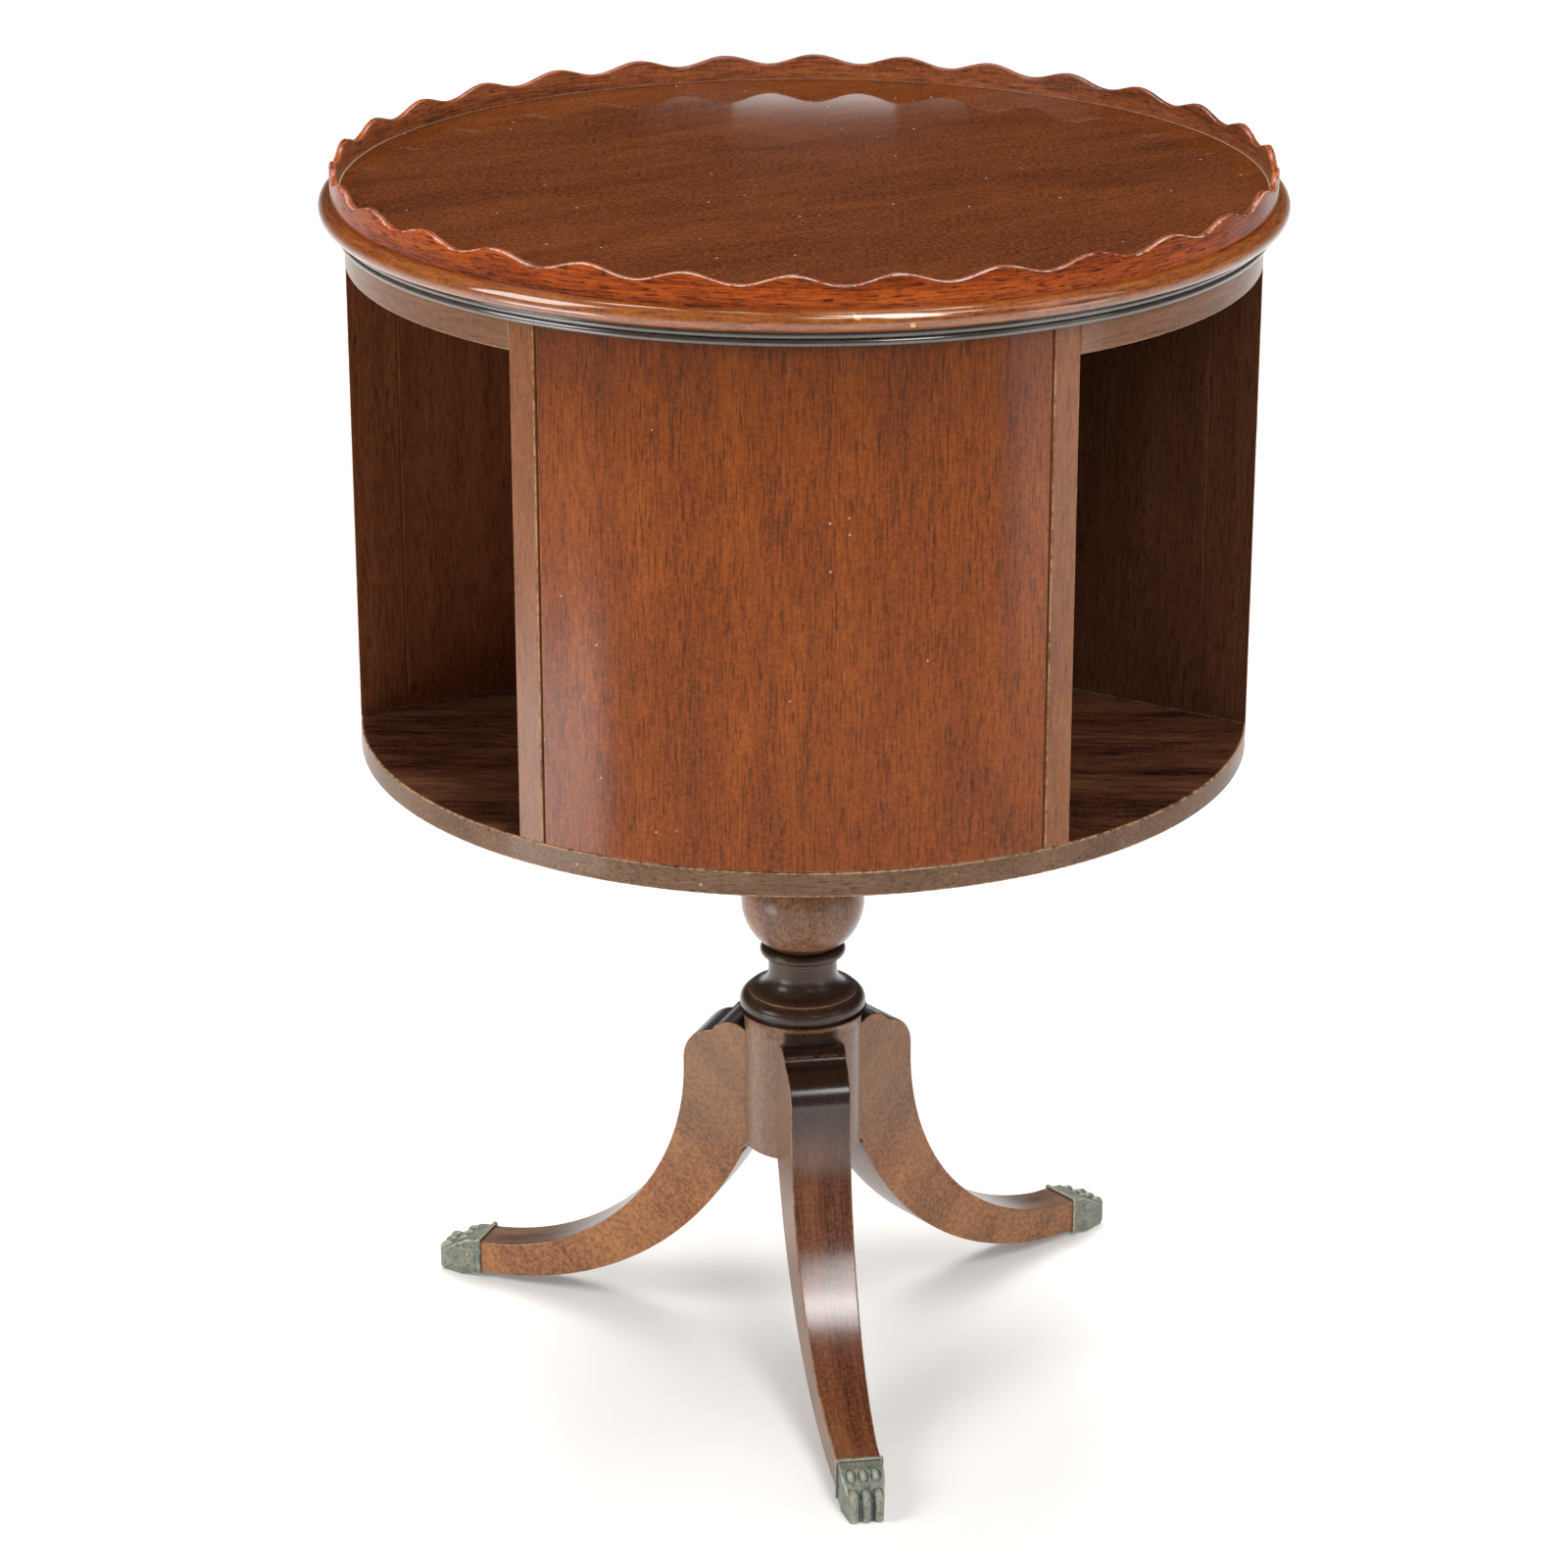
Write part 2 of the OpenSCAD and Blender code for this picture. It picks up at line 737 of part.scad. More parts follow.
module glue_blocks() {
    color(pine) for (bearing = [PANEL_FRONT, PANEL_RIGHT, PANEL_LEFT]) {
        face(bearing) for (z = [shelf_z, ceiling_z - glue_block_h]) intersection() {
            translate([shell_in_r - glue_block_w, -glue_block_w / 2, z])
                cube([glue_block_w, glue_block_w, glue_block_h]);
            cylinder(r = shell_in_r - glue_gap, h = tall);
        }
    }
}

module all_stiles() {
    for (bearing = [BOOKS_RIGHT, BOOKS_REAR, BOOKS_LEFT]) for (side = [-1, 1]) {
        face(bearing) on_side(side) linear_extrude(tall) stile_plan();
    }
}

module top_screw_places() {
    for (bearing = [BOOKS_RIGHT, BOOKS_REAR, BOOKS_LEFT]) for (side = [-1, 1]) {
        face(bearing) translate([top_screw_s, side * top_screw_t, ceiling_z]) children();
    }
}

module upper_board() {
    color(inside_wood) difference() {
        translate([0, 0, ceiling_z]) cylinder(r = shell_in_r - glue_gap, h = upper_board_t);
        all_stiles();
        top_screw_places() screw_hole(top_screw_head_r, top_screw_r, top_screw_l);
    }
}

// Top: board, rim, bead and gallery

module top_board() {
    color(mahogany_dark) difference() {
        translate([0, 0, carcase_top_z]) cylinder(r = gallery_in_r - ring_gap, h = top_board_t);
        top_screw_places() screw_hole(top_screw_head_r, top_screw_r, top_screw_l);
    }
}

module top_screws() {
    color(steel) top_screw_places() screw(top_screw_head_r, top_screw_r, top_screw_l);
}

module rim_moulding() {
    color(mahogany_red) rotate_extrude() difference() {
        union() {
            translate([gallery_in_r, carcase_top_z]) square([rim_r - nose_r - gallery_in_r, rim_t]);
            translate([rim_r - nose_r, carcase_top_z + nose_r]) circle(r = nose_r);
        }
        translate([gallery_in_r - nose_r, carcase_top_z]) square([nose_r, rim_t]);
        translate([gallery_in_r - past, gallery_z]) square([past + gallery_t + glue_gap, rim_t]);
    }
}

module bead_moulding() {
    bead_r = bead_h / 4;
    inner = drum_r + ring_gap;
    lower_x = inner + bead_back_t;
    upper_x = lower_x + bead_r / 2;
    color(black_bead) rotate_extrude() union() {
        translate([inner, carcase_top_z - bead_h]) square([bead_back_t, bead_h]);
        translate([inner, carcase_top_z - 2 * bead_r]) square([upper_x - inner, 2 * bead_r]);
        translate([upper_x, carcase_top_z - bead_r]) circle(r = bead_r);
        translate([lower_x, carcase_top_z - 3 * bead_r]) circle(r = bead_r);
    }
}

// Height of the gallery's edge at a bearing: a peak stands at the middle of the front panel
function scallop_z(bearing) = ledge_z + gallery_h - scallop_depth / 2
    + scallop_depth / 2 * cos(bearing * scallop_count);

module gallery(start, end) {
    inner = gallery_in_r + glue_gap;
    steps = round((end - start) * scallop_count * steps_per_scallop / 360);
    bearings = [for (i = [0:steps]) start + (end - start) * i / steps];
    points = [for (b = bearings) for (p = [
        [inner, gallery_z], [gallery_out_r, gallery_z],
        [gallery_out_r, scallop_z(b)], [inner, scallop_z(b)]
    ]) [p[0] * sin(b), -p[0] * cos(b), p[1]]];
    sides = [for (i = [0:steps - 1]) for (k = [0:3])
        let (a = 4 * i + k, b = 4 * i + (k + 1) % 4) each [[a, a + 4, b + 4], [a, b + 4, b]]];
    last = 4 * steps;
    ends = [[0, 1, 2], [0, 2, 3], [last + 2, last + 1, last], [last + 3, last + 2, last]];
    color(mahogany_red) polyhedron(points, concat(sides, ends), convexity = 10);
}

column();
leg(LEG_BEARINGS[0]);  // leg_front
leg(LEG_BEARINGS[1]);  // leg_right
leg(LEG_BEARINGS[2]);  // leg_left
toe_cap(LEG_BEARINGS[0]);  // toe_cap_front
toe_cap(LEG_BEARINGS[1]);  // toe_cap_right
toe_cap(LEG_BEARINGS[2]);  // toe_cap_left
toe_cap_nails();
bearer_disc();
swivel_lower_plate();
lower_plate_screws();
ball_retainer();
bearing_balls();
pivot_bolt();
pivot_washer();
pivot_nut();
swivel_upper_plate();
upper_plate_screws();
pivot_bush();
bottom_board();
partition(BOOKS_RIGHT, -1);  // partition_front_right
partition(BOOKS_RIGHT, 1);  // partition_right_front
partition(BOOKS_REAR, -1);  // partition_right_rear
partition(BOOKS_REAR, 1);  // partition_left_rear
partition(BOOKS_LEFT, -1);  // partition_left_front
partition(BOOKS_LEFT, 1);  // partition_front_left
back_board(BOOKS_RIGHT);  // back_board_right
back_board(BOOKS_REAR);  // back_board_rear
back_board(BOOKS_LEFT);  // back_board_left
stile(BOOKS_RIGHT, -1);  // stile_front_right
stile(BOOKS_RIGHT, 1);  // stile_right_front
stile(BOOKS_REAR, -1);  // stile_right_rear
stile(BOOKS_REAR, 1);  // stile_left_rear
stile(BOOKS_LEFT, -1);  // stile_left_front
stile(BOOKS_LEFT, 1);  // stile_front_left
curved_panel(PANEL_FRONT);  // panel_front
curved_panel(PANEL_RIGHT);  // panel_right
curved_panel(PANEL_LEFT);  // panel_left
frieze(BOOKS_RIGHT);  // frieze_right
frieze(BOOKS_REAR);  // frieze_rear
frieze(BOOKS_LEFT);  // frieze_left
glue_blocks();
upper_board();
bead_moulding();
rim_moulding();
top_board();
top_screws();
gallery(gallery_joint, gallery_joint + third);  // gallery_right
gallery(gallery_joint + third, gallery_joint + 2 * third);  // gallery_rear
gallery(gallery_joint + 2 * third, gallery_joint + 3 * third);  // gallery_left
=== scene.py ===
"""Dresses the revolving drum table: its camera and light, its finishes and its finely shaped pieces."""

import logging
import math
from dataclasses import dataclass, field
from enum import Enum
from typing import Callable, Optional, Sequence, Union

import bmesh
import bpy
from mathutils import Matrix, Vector


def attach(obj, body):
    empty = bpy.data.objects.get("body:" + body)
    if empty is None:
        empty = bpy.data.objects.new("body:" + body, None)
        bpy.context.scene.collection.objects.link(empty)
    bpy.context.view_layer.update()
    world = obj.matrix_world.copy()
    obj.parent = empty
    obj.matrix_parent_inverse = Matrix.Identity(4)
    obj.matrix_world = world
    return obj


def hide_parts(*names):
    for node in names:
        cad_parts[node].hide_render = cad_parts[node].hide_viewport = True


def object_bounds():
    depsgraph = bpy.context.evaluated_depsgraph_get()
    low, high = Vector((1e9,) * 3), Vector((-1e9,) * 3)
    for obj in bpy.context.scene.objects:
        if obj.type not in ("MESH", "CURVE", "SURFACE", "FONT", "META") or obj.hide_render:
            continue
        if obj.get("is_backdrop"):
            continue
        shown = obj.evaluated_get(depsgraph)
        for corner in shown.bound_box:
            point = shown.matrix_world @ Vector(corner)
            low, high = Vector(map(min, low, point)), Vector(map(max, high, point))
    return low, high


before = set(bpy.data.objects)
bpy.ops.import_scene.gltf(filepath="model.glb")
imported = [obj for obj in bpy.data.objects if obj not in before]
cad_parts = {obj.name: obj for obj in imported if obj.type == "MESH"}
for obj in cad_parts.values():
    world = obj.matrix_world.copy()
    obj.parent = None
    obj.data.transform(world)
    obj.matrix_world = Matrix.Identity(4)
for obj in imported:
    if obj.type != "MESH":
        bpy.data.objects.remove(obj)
CAD_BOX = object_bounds()

LOG = logging.getLogger("drum_table")
MM = 0.001
Colour = tuple[float, float, float]
Socket = bpy.types.NodeSocket
Value = Union[float, Socket]
Outline = list[tuple[float, float]]

# Bearings are degrees from the front, against the clock as seen from above
LEG_BEARINGS = {"front": 10.2, "right": 130.2, "left": 250.2}

# How near points are that are welded: on a new mesh, and on a copy of a solid
WELD = 0.001 * MM
WELD_SOLID = 0.002 * MM

# Tones that the finishes share
ALMOST_BLACK = (0.012, 0.008, 0.007)
# The grey of a painted sheen
SHEEN_GREY = (0.24, 0.17, 0.125)
PALE_DUST = (0.5, 0.42, 0.36)
BARE_ARRIS = (0.55, 0.4, 0.28)
OLD_GLUE = (0.5, 0.4, 0.32)
OLIVE_TARNISH = (0.2, 0.165, 0.085)
DARK_CASTING = (0.05, 0.065, 0.06)
DARK_HOLLOW = (0.03, 0.055, 0.05)

# Where the lacquer is knocked off: each spot's place and size in metres
RIM_NICKS = ((0.0344, -0.2763, 0.7363, 0.0022), (0.0635, -0.2717, 0.7305, 0.0015))
BOARD_NICKS = (
    (-0.012, -0.2649, 0.4035, 0.0013), (-0.004, -0.2651, 0.4035, 0.0016), (0.005, -0.2651, 0.4035, 0.0012),
    (0.014, -0.2648, 0.4035, 0.0015), (0.021, -0.2644, 0.4035, 0.0011), (0.033, -0.2632, 0.4035, 0.0014),
    (-0.12, -0.2363, 0.411, 0.0009), (0.09, -0.2492, 0.413, 0.0008), (-0.05, -0.2602, 0.4095, 0.0007),
)


class Grain(Enum):
    """The way that the grain runs through a piece."""

    UPRIGHT = "upright"
    SIDEWAYS = "sideways"
    AROUND = "around"
    ALONG_LEG = "along_leg"
    LEG_FACE = "leg_face"
    FIELD = "field"


@dataclass(frozen=True)
class Pattern:
    """A soft random pattern.

    Attributes:
        density: How many spots it has in a metre, along each of three axes.
        detail: How many finer layers it has.
        roughness: How strong the finer layers are.
        warp: How far the pattern is bent.
    """

    density: tuple[float, float, float]
    detail: float = 2.0
    roughness: float = 0.5
    warp: float = 0.0


# Patterns of the wood, the first three with the grain along their first axis
FIBRES = Pattern((50.0, 760.0, 760.0), 2.0, 0.6)
FIGURE = Pattern((9.0, 26.0, 26.0), 3.0, 0.55, 0.8)
PORES = Pattern((85.0, 900.0, 900.0), 1.0)
CHIPS = Pattern((240.0, 240.0, 240.0), 3.0, 0.65)
WORN_PATCHES = Pattern((21.0, 21.0, 21.0), 1.0)
LACQUER_SKIN = Pattern((130.0, 130.0, 130.0))

# Patterns of the metals and of the floor
CASTING = Pattern((420.0, 420.0, 420.0), 3.0, 0.65)
TARNISH = Pattern((130.0, 130.0, 130.0), 3.0, 0.6, 0.5)
OLIVE_PATCHES = Pattern((210.0, 210.0, 210.0), 2.0, 0.55)
DULL_PATCHES = Pattern((160.0, 160.0, 160.0), 3.0, 0.6)
TURNING_MARKS = Pattern((300.0, 300.0, 2600.0))
FLOOR_CLOUDS = Pattern((2.5, 2.5, 2.5), 4.0, 0.6)


class Graph:
    """A finish's node tree, with a short call for each kind of node."""

    def __init__(self, name: str) -> None:
        """Starts a material that has a shader and nothing else.

        Args:
            name: The material's name.
        """
        self.material = bpy.data.materials.new(name)
        self.material.use_nodes = True
        self.tree = self.material.node_tree
        self.tree.nodes.clear()
        output = self.tree.nodes.new("ShaderNodeOutputMaterial")
        self.shader = self.tree.nodes.new("ShaderNodeBsdfPrincipled")
        self.tree.links.new(self.shader.outputs[0], output.inputs[0])
        self.point = self.tree.nodes.new("ShaderNodeTexCoord").outputs["Object"]

    def put(self, socket: Socket, value: Union[Value, Sequence[float]]) -> None:
        """Links a socket to another, or sets its own value.

        Args:
            socket: The input to fill.
            value: A socket to link, or a plain number, vector or colour.
        """
        if isinstance(value, bpy.types.NodeSocket):
            self.tree.links.new(value, socket)
        elif isinstance(value, (int, float)):
            socket.default_value = value
        else:
            size = len(socket.default_value)
            socket.default_value = (*value, 1.0)[:size] if len(value) < size else value

    def math(self, operation: str, first: Value, second: Value = 0.0) -> Socket:
        """Combines one or two numbers.

        Args:
            operation: Blender's name of the operation.
            first: The first number.
            second: The second number, where the operation has one.

        Returns:
            The result's socket.
        """
        node = self.tree.nodes.new("ShaderNodeMath")
        node.operation = operation
        self.put(node.inputs[0], first)
        self.put(node.inputs[1], second)
        return node.outputs[0]

    def split(self, vector: Socket) -> tuple[Socket, Socket, Socket]:
        """Takes a vector apart.

        Args:
            vector: The vector.

        Returns:
            The sockets of its three numbers.
        """
        node = self.tree.nodes.new("ShaderNodeSeparateXYZ")
        self.put(node.inputs[0], vector)
        return node.outputs[0], node.outputs[1], node.outputs[2]

    def times(self, first: Value, second: Value) -> Socket:
        """Returns the product of two numbers."""
        return self.math("MULTIPLY", first, second)

    def height(self) -> Socket:
        """Returns each point's height."""
        return self.split(self.point)[2]

    def radius(self) -> Socket:
        """Returns each point's distance from the table's axis."""
        x, y, _ = self.split(self.point)
        return self.math("SQRT", self.math("ADD", self.times(x, x), self.times(y, y)))

    def join(self, x: Value, y: Value, z: Value) -> Socket:
        """Makes a vector of three numbers.

        Args:
            x: Its first number.
            y: Its second number.
            z: Its third number.

        Returns:
            The vector's socket.
        """
        node = self.tree.nodes.new("ShaderNodeCombineXYZ")
        for socket, value in zip(node.inputs, (x, y, z)):
            self.put(socket, value)
        return node.outputs[0]

    def turned(self, vector: Socket, axis: str, degrees: float) -> Socket:
        """Turns a vector about one of the main axes.

        Args:
            vector: The vector to turn.
            axis: X, Y or Z.
            degrees: How far to turn it.

        Returns:
            The turned vector's socket.
        """
        node = self.tree.nodes.new("ShaderNodeVectorRotate")
        node.rotation_type = f"{axis}_AXIS"
        self.put(node.inputs["Vector"], vector)
        self.put(node.inputs["Angle"], math.radians(degrees))
        return node.outputs[0]

    def stretched(self, vector: Socket, scale: Sequence[float]) -> Socket:
        """Stretches a vector along the axes.

        Args:
            vector: The vector.
            scale: The three factors.

        Returns:
            The stretched vector's socket.
        """
        node = self.tree.nodes.new("ShaderNodeVectorMath")
        node.operation = "MULTIPLY"
        self.put(node.inputs[0], vector)
        self.put(node.inputs[1], scale)
        return node.outputs[0]

    def noise(self, pattern: Pattern, place: Optional[Socket] = None) -> Socket:
        """Draws a soft random pattern.

        Args:
            pattern: The pattern to draw.
            place: Where each point lies in the pattern, in metres, or None for its place on the table.

        Returns:
            The pattern's socket, around 0.5.
        """
        node = self.tree.nodes.new("ShaderNodeTexNoise")
        place = self.point if place is None else place
        self.put(node.inputs["Vector"], self.stretched(place, pattern.density))
        self.put(node.inputs["Scale"], 1.0)
        self.put(node.inputs["Detail"], pattern.detail)
        self.put(node.inputs["Roughness"], pattern.roughness)
        self.put(node.inputs["Distortion"], pattern.warp)
        return node.outputs[0]

    def cells(self, density: float) -> tuple[Socket, Socket]:
        """Scatters random points over the table.

        Args:
            density: How many points lie in a metre.

        Returns:
            The sockets of the distance to the nearest point, and of that point's random colour.
        """
        node = self.tree.nodes.new("ShaderNodeTexVoronoi")
        self.put(node.inputs["Vector"], self.stretched(self.point, (density,) * 3))
        self.put(node.inputs["Scale"], 1.0)
        return node.outputs["Distance"], node.outputs["Color"]

    def spread(self, value: Value, low: float, high: float, start: float = 0.0, end: float = 1.0) -> Socket:
        """Spreads part of a number's range over another range, and holds it there.

        Args:
            value: The number.
            low: The value that gives start.
            high: The value that gives end.
            start: The result at low and below.
            end: The result at high and above.

        Returns:
            The result's socket.
        """
        node = self.tree.nodes.new("ShaderNodeMapRange")
        node.interpolation_type = "SMOOTHSTEP"
        for socket, number in zip(node.inputs, (value, low, high, start, end)):
            self.put(socket, number)
        return node.outputs[0]

    def mix(self, share: Value, first: Union[Socket, Colour], second: Union[Socket, Colour]) -> Socket:
        """Mixes two colours.

        Args:
            share: How much of the second colour shows.
            first: The colour underneath.
            second: The colour on top.

        Returns:
            The mixed colour's socket.
        """
        node = self.tree.nodes.new("ShaderNodeMix")
        node.data_type = "RGBA"
        self.put(node.inputs["Factor"], share)
        self.put(node.inputs[6], first)
        self.put(node.inputs[7], second)
        return node.outputs[2]

    def three_tones(self, value: Socket, dark: Colour, middle: Colour, light: Colour) -> Socket:
        """Picks a colour between three tones.

        Args:
            value: The number that picks it, from 0 to 1.
            dark: The tone at 0.
            middle: The tone at 0.5.
            light: The tone at 1.

        Returns:
            The colour's socket.
        """
        node = self.tree.nodes.new("ShaderNodeValToRGB")
        ramp = node.color_ramp
        ramp.elements[0].color = (*dark, 1.0)
        ramp.elements[1].color = (*light, 1.0)
        ramp.elements.new(0.5).color = (*middle, 1.0)
        self.put(node.inputs[0], value)
        return node.outputs[0]

    def attribute(self, name: str) -> Socket:
        """Reads a number that the mesh holds at each point.

        Args:
            name: The attribute's name.

        Returns:
            The number's socket.
        """
        node = self.tree.nodes.new("ShaderNodeAttribute")
        node.attribute_name = name
        return node.outputs["Fac"]

    def bump(
        self, height: Socket, depth: float, strength: float = 1.0, under: Optional[Socket] = None
    ) -> Socket:
        """Raises the surface a little by a pattern.

        Args:
            height: The pattern, from 0 to 1.
            depth: The height of a full step, in metres.
            strength: How much of it shows.
            under: The bump that lies below this one.

        Returns:
            The bent normal's socket.
        """
        node = self.tree.nodes.new("ShaderNodeBump")
        self.put(node.inputs["Strength"], strength)
        self.put(node.inputs["Distance"], depth)
        self.put(node.inputs["Height"], height)
        if under is not None:
            self.put(node.inputs["Normal"], under)
        return node.outputs[0]

    def dress(self, **sockets: Union[Value, Sequence[float]]) -> bpy.types.Material:
        """Fills the shader's sockets.

        Args:
            **sockets: What goes into each socket, named with underscores for spaces.

        Returns:
            The finished material.
        """
        for name, value in sockets.items():
            self.put(self.shader.inputs[name.replace("_", " ")], value)
        return self.material


@dataclass(frozen=True)
class Wood:
    """A lacquered wood, with its figure, streaks, fibres, pores and wear.

    Attributes:
        name: The material's name.
        middle: Its middle tone.
        contrast: How far its dark and light tones lie from the middle one.
        grain: The way that its grain runs.
        bearing: The leg's bearing in degrees, where the grain follows a leg.
        streaks: How many streaks lie in a metre across the grain.
        shares: How much streaks, fibres and mottles weigh in the tone.
        figure: How strong the broad figure is.
        pores: How dark the pores are.
        mottles: How many mottles lie in a metre.
        gloss: The roughness of the wood under the lacquer.
        ripple: How uneven its surface is.
        coat: How much lacquer it has.
        coat_gloss: The lacquer's roughness.
        coat_ior: The lacquer's index of refraction.
        specular: How much the wood itself reflects.
        wear: How bare its worn edges are.
        worn: The tone of bare wood.
        toned_and_shaded: From where to where each band is darkened, in metres: the turned hollows carry dark
            toning, and the ball's underside painted shade.
        specks: How pale the specks of dust are.
        rim_line: The radius of the pale line round the field, in metres.
        foot_line: The height of the line of glue along a board's foot, in metres.
        shade: Where a painted shade starts and ends in height, and its depth.
        grey_sheen: Where a painted grey sheen starts and ends in height, and its depth.
        above_legs: Whether the hub's dark spots above the legs show.
        nicks: The place and size of each nick, in metres.
    """

    name: str
    middle: Colour
    contrast: float = 0.4
    grain: Grain = Grain.UPRIGHT
    bearing: float = 0.0
    streaks: float = 70.0
    shares: tuple[float, float, float] = (0.3, 0.42, 0.28)
    figure: float = 0.25
    pores: float = 0.55
    mottles: float = 420.0
    gloss: float = 0.34
    ripple: float = 0.5
    coat: float = 0.25
    coat_gloss: float = 0.12
    coat_ior: float = 1.45
    specular: float = 0.05
    wear: float = 0.6
    worn: Colour = (0.42, 0.24, 0.13)
    toned_and_shaded: tuple[tuple[float, float], ...] = ()
    specks: float = 0.0
    rim_line: float = 0.0
    foot_line: float = 0.0
    shade: tuple[float, float, float] = (0.0, 0.0, 0.0)
    grey_sheen: tuple[float, float, float] = (0.0, 0.0, 0.0)
    above_legs: bool = False
    nicks: tuple[tuple[float, float, float, float], ...] = ()

    def along_grain(self, graph: Graph) -> Socket:
        """Gives each point of a piece its place in the wood.

        Args:
            graph: The node tree to add to.

        Returns:
            A vector's socket whose X runs along the grain, in metres.
        """
        field_turn, joint_turn, leg_slope, ring_r = -32.0, -60.0, 48.0, 0.27
        x, y, z = graph.split(graph.point)
        if self.grain is Grain.UPRIGHT:
            return graph.join(z, x, y)
        if self.grain is Grain.SIDEWAYS:
            return graph.point
        if self.grain is Grain.FIELD:
            return graph.turned(graph.point, "Z", field_turn)
        if self.grain is Grain.AROUND:
            turned = graph.split(graph.turned(graph.point, "Z", joint_turn))
            bearing = graph.math("ARCTAN2", turned[0], graph.times(turned[1], -1.0))
            return graph.join(graph.times(bearing, ring_r), graph.radius(), z)
        flat = graph.turned(graph.point, "Z", 90.0 - self.bearing)
        along = graph.turned(flat, "Y", leg_slope)
        if self.grain is Grain.LEG_FACE:
            distance, across, _ = graph.split(along)
            return graph.join(distance, across, 0.0)
        return along

    def tone(self, change: float) -> Colour:
        """Makes the middle colour darker, or lighter and more golden.

        Args:
            change: How much darker it gets below 0, and how much lighter above 0.

        Returns:
            The changed colour.
        """
        red, green, blue = self.middle
        if change < 0.0:
            return red * (1.0 + change), green * (1.0 + 0.95 * change), blue * (1.0 + 0.8 * change)
        return red * (1.0 + 0.75 * change), green * (1.0 + 1.2 * change), blue * (1.0 + 1.2 * change)

    def build(self) -> bpy.types.Material:
        """Makes the wood's material.

        Returns:
            The material.
        """
        graph = Graph(self.name)
        place = self.along_grain(graph)
        streaks = graph.noise(Pattern((3.0, self.streaks, self.streaks), 3.0, 0.5, 0.2), place)
        fibres = graph.noise(FIBRES, place)
        figure = graph.noise(FIGURE, place)
        pores = graph.noise(PORES, place)
        mottle = graph.noise(Pattern((self.mottles, self.mottles, self.mottles), 2.0, 0.6))
        chips = graph.noise(CHIPS)
        tone: Value = 0.0
        for pattern, share in zip((streaks, fibres, mottle), self.shares):
            tone = graph.math("ADD", tone, graph.times(graph.spread(pattern, 0.3, 0.7), share))
        swing = graph.times(graph.math("SUBTRACT", figure, 0.5), self.figure * 2.0)
        tone = graph.math("ADD", tone, swing)
        dark, light = self.tone(-self.contrast), self.tone(self.contrast)
        colour = graph.three_tones(tone, dark, self.middle, light)
        pore = graph.spread(pores, 0.56, 0.68)
        colour = graph.mix(graph.times(pore, self.pores), colour, self.tone(-0.8))
        colour = self.toning_and_painted_light(graph, colour)
        colour = self.worn_down(graph, colour, chips)
        dull, dullest = self.gloss - 0.05, self.gloss + 0.09
        rough = graph.spread(graph.math("ADD", streaks, mottle), 0.7, 1.3, dull, dullest)
        normal = graph.bump(graph.noise(LACQUER_SKIN), 0.05 * MM, self.ripple)
        open_grain = graph.math("SUBTRACT", fibres, graph.times(pore, 0.8))
        normal = graph.bump(open_grain, 0.06 * MM, 0.55, normal)
        return graph.dress(
            Base_Color=colour,
            Roughness=rough,
            Normal=normal,
            Coat_Weight=self.coat,
            Coat_Roughness=self.coat_gloss,
            Coat_IOR=self.coat_ior,
            Specular_IOR_Level=self.specular,
        )

    def toning_and_painted_light(self, graph: Graph, colour: Socket) -> Socket:
        """Lays the toning and the painted light over the wood: dark bands, painted shadows at the legs,
        painted shade towards the top and a painted grey sheen.

        Args:
            graph: The node tree to add to.
            colour: The bare wood's colour.

        Returns:
            The colour's socket, with its toning and painted light.
        """
        # Dark bands: toning in the turned hollows, painted shade under the ball
        if self.toned_and_shaded:
            colour = graph.mix(self.hollows(graph), colour, ALMOST_BLACK)
        if self.above_legs:
            colour = graph.mix(self.leg_shadows(graph), colour, ALMOST_BLACK)
        # Painted shade, darker towards the top
        if self.shade[2]:
            low, high, depth = self.shade
            darker = graph.spread(graph.height(), low, high, 0.0, depth)
            colour = graph.mix(darker, colour, self.tone(-0.95))
        # Painted sheen: a grey wash by height for the lacquer's grey reflection
        if self.grey_sheen[2]:
            low, high, share = self.grey_sheen
            dull = graph.spread(graph.height(), low, high, 0.0, share)
            colour = graph.mix(dull, colour, SHEEN_GREY)
        return colour

    def worn_down(self, graph: Graph, colour: Socket, chips: Socket) -> Socket:
        """Rubs the edges bare, and adds the dust, the pale lines and the nicks; on the gallery's top edge the
        bare tone is partly a painted highlight.

        Args:
            graph: The node tree to add to.
            colour: The colour of the sound surface.
            chips: The pattern that makes the wear ragged.

        Returns:
            The worn colour's socket.
        """
        patches = graph.noise(WORN_PATCHES)
        bare = graph.spread(graph.math("ADD", chips, graph.times(patches, 0.5)), 0.62, 0.86)
        bare = graph.times(bare, graph.times(graph.attribute("wear"), self.wear))
        colour = graph.mix(bare, colour, self.worn)
        if self.specks:
            colour = graph.mix(self.dust(graph), colour, PALE_DUST)
        if self.rim_line:
            line = graph.spread(graph.radius(), self.rim_line - 1.6 * MM, self.rim_line)
            colour = graph.mix(graph.times(line, 0.9), colour, BARE_ARRIS)
        if self.foot_line:
            line = graph.spread(graph.height(), self.foot_line + 1.3 * MM, self.foot_line + 0.5 * MM)
            line = graph.times(line, graph.spread(chips, 0.4, 0.6, 0.25, 0.75))
            colour = graph.mix(line, colour, OLD_GLUE)
        for x, y, z, size in self.nicks:
            colour = graph.mix(self.nick(graph, chips, (x, y, z), size), colour, self.worn)
        return colour

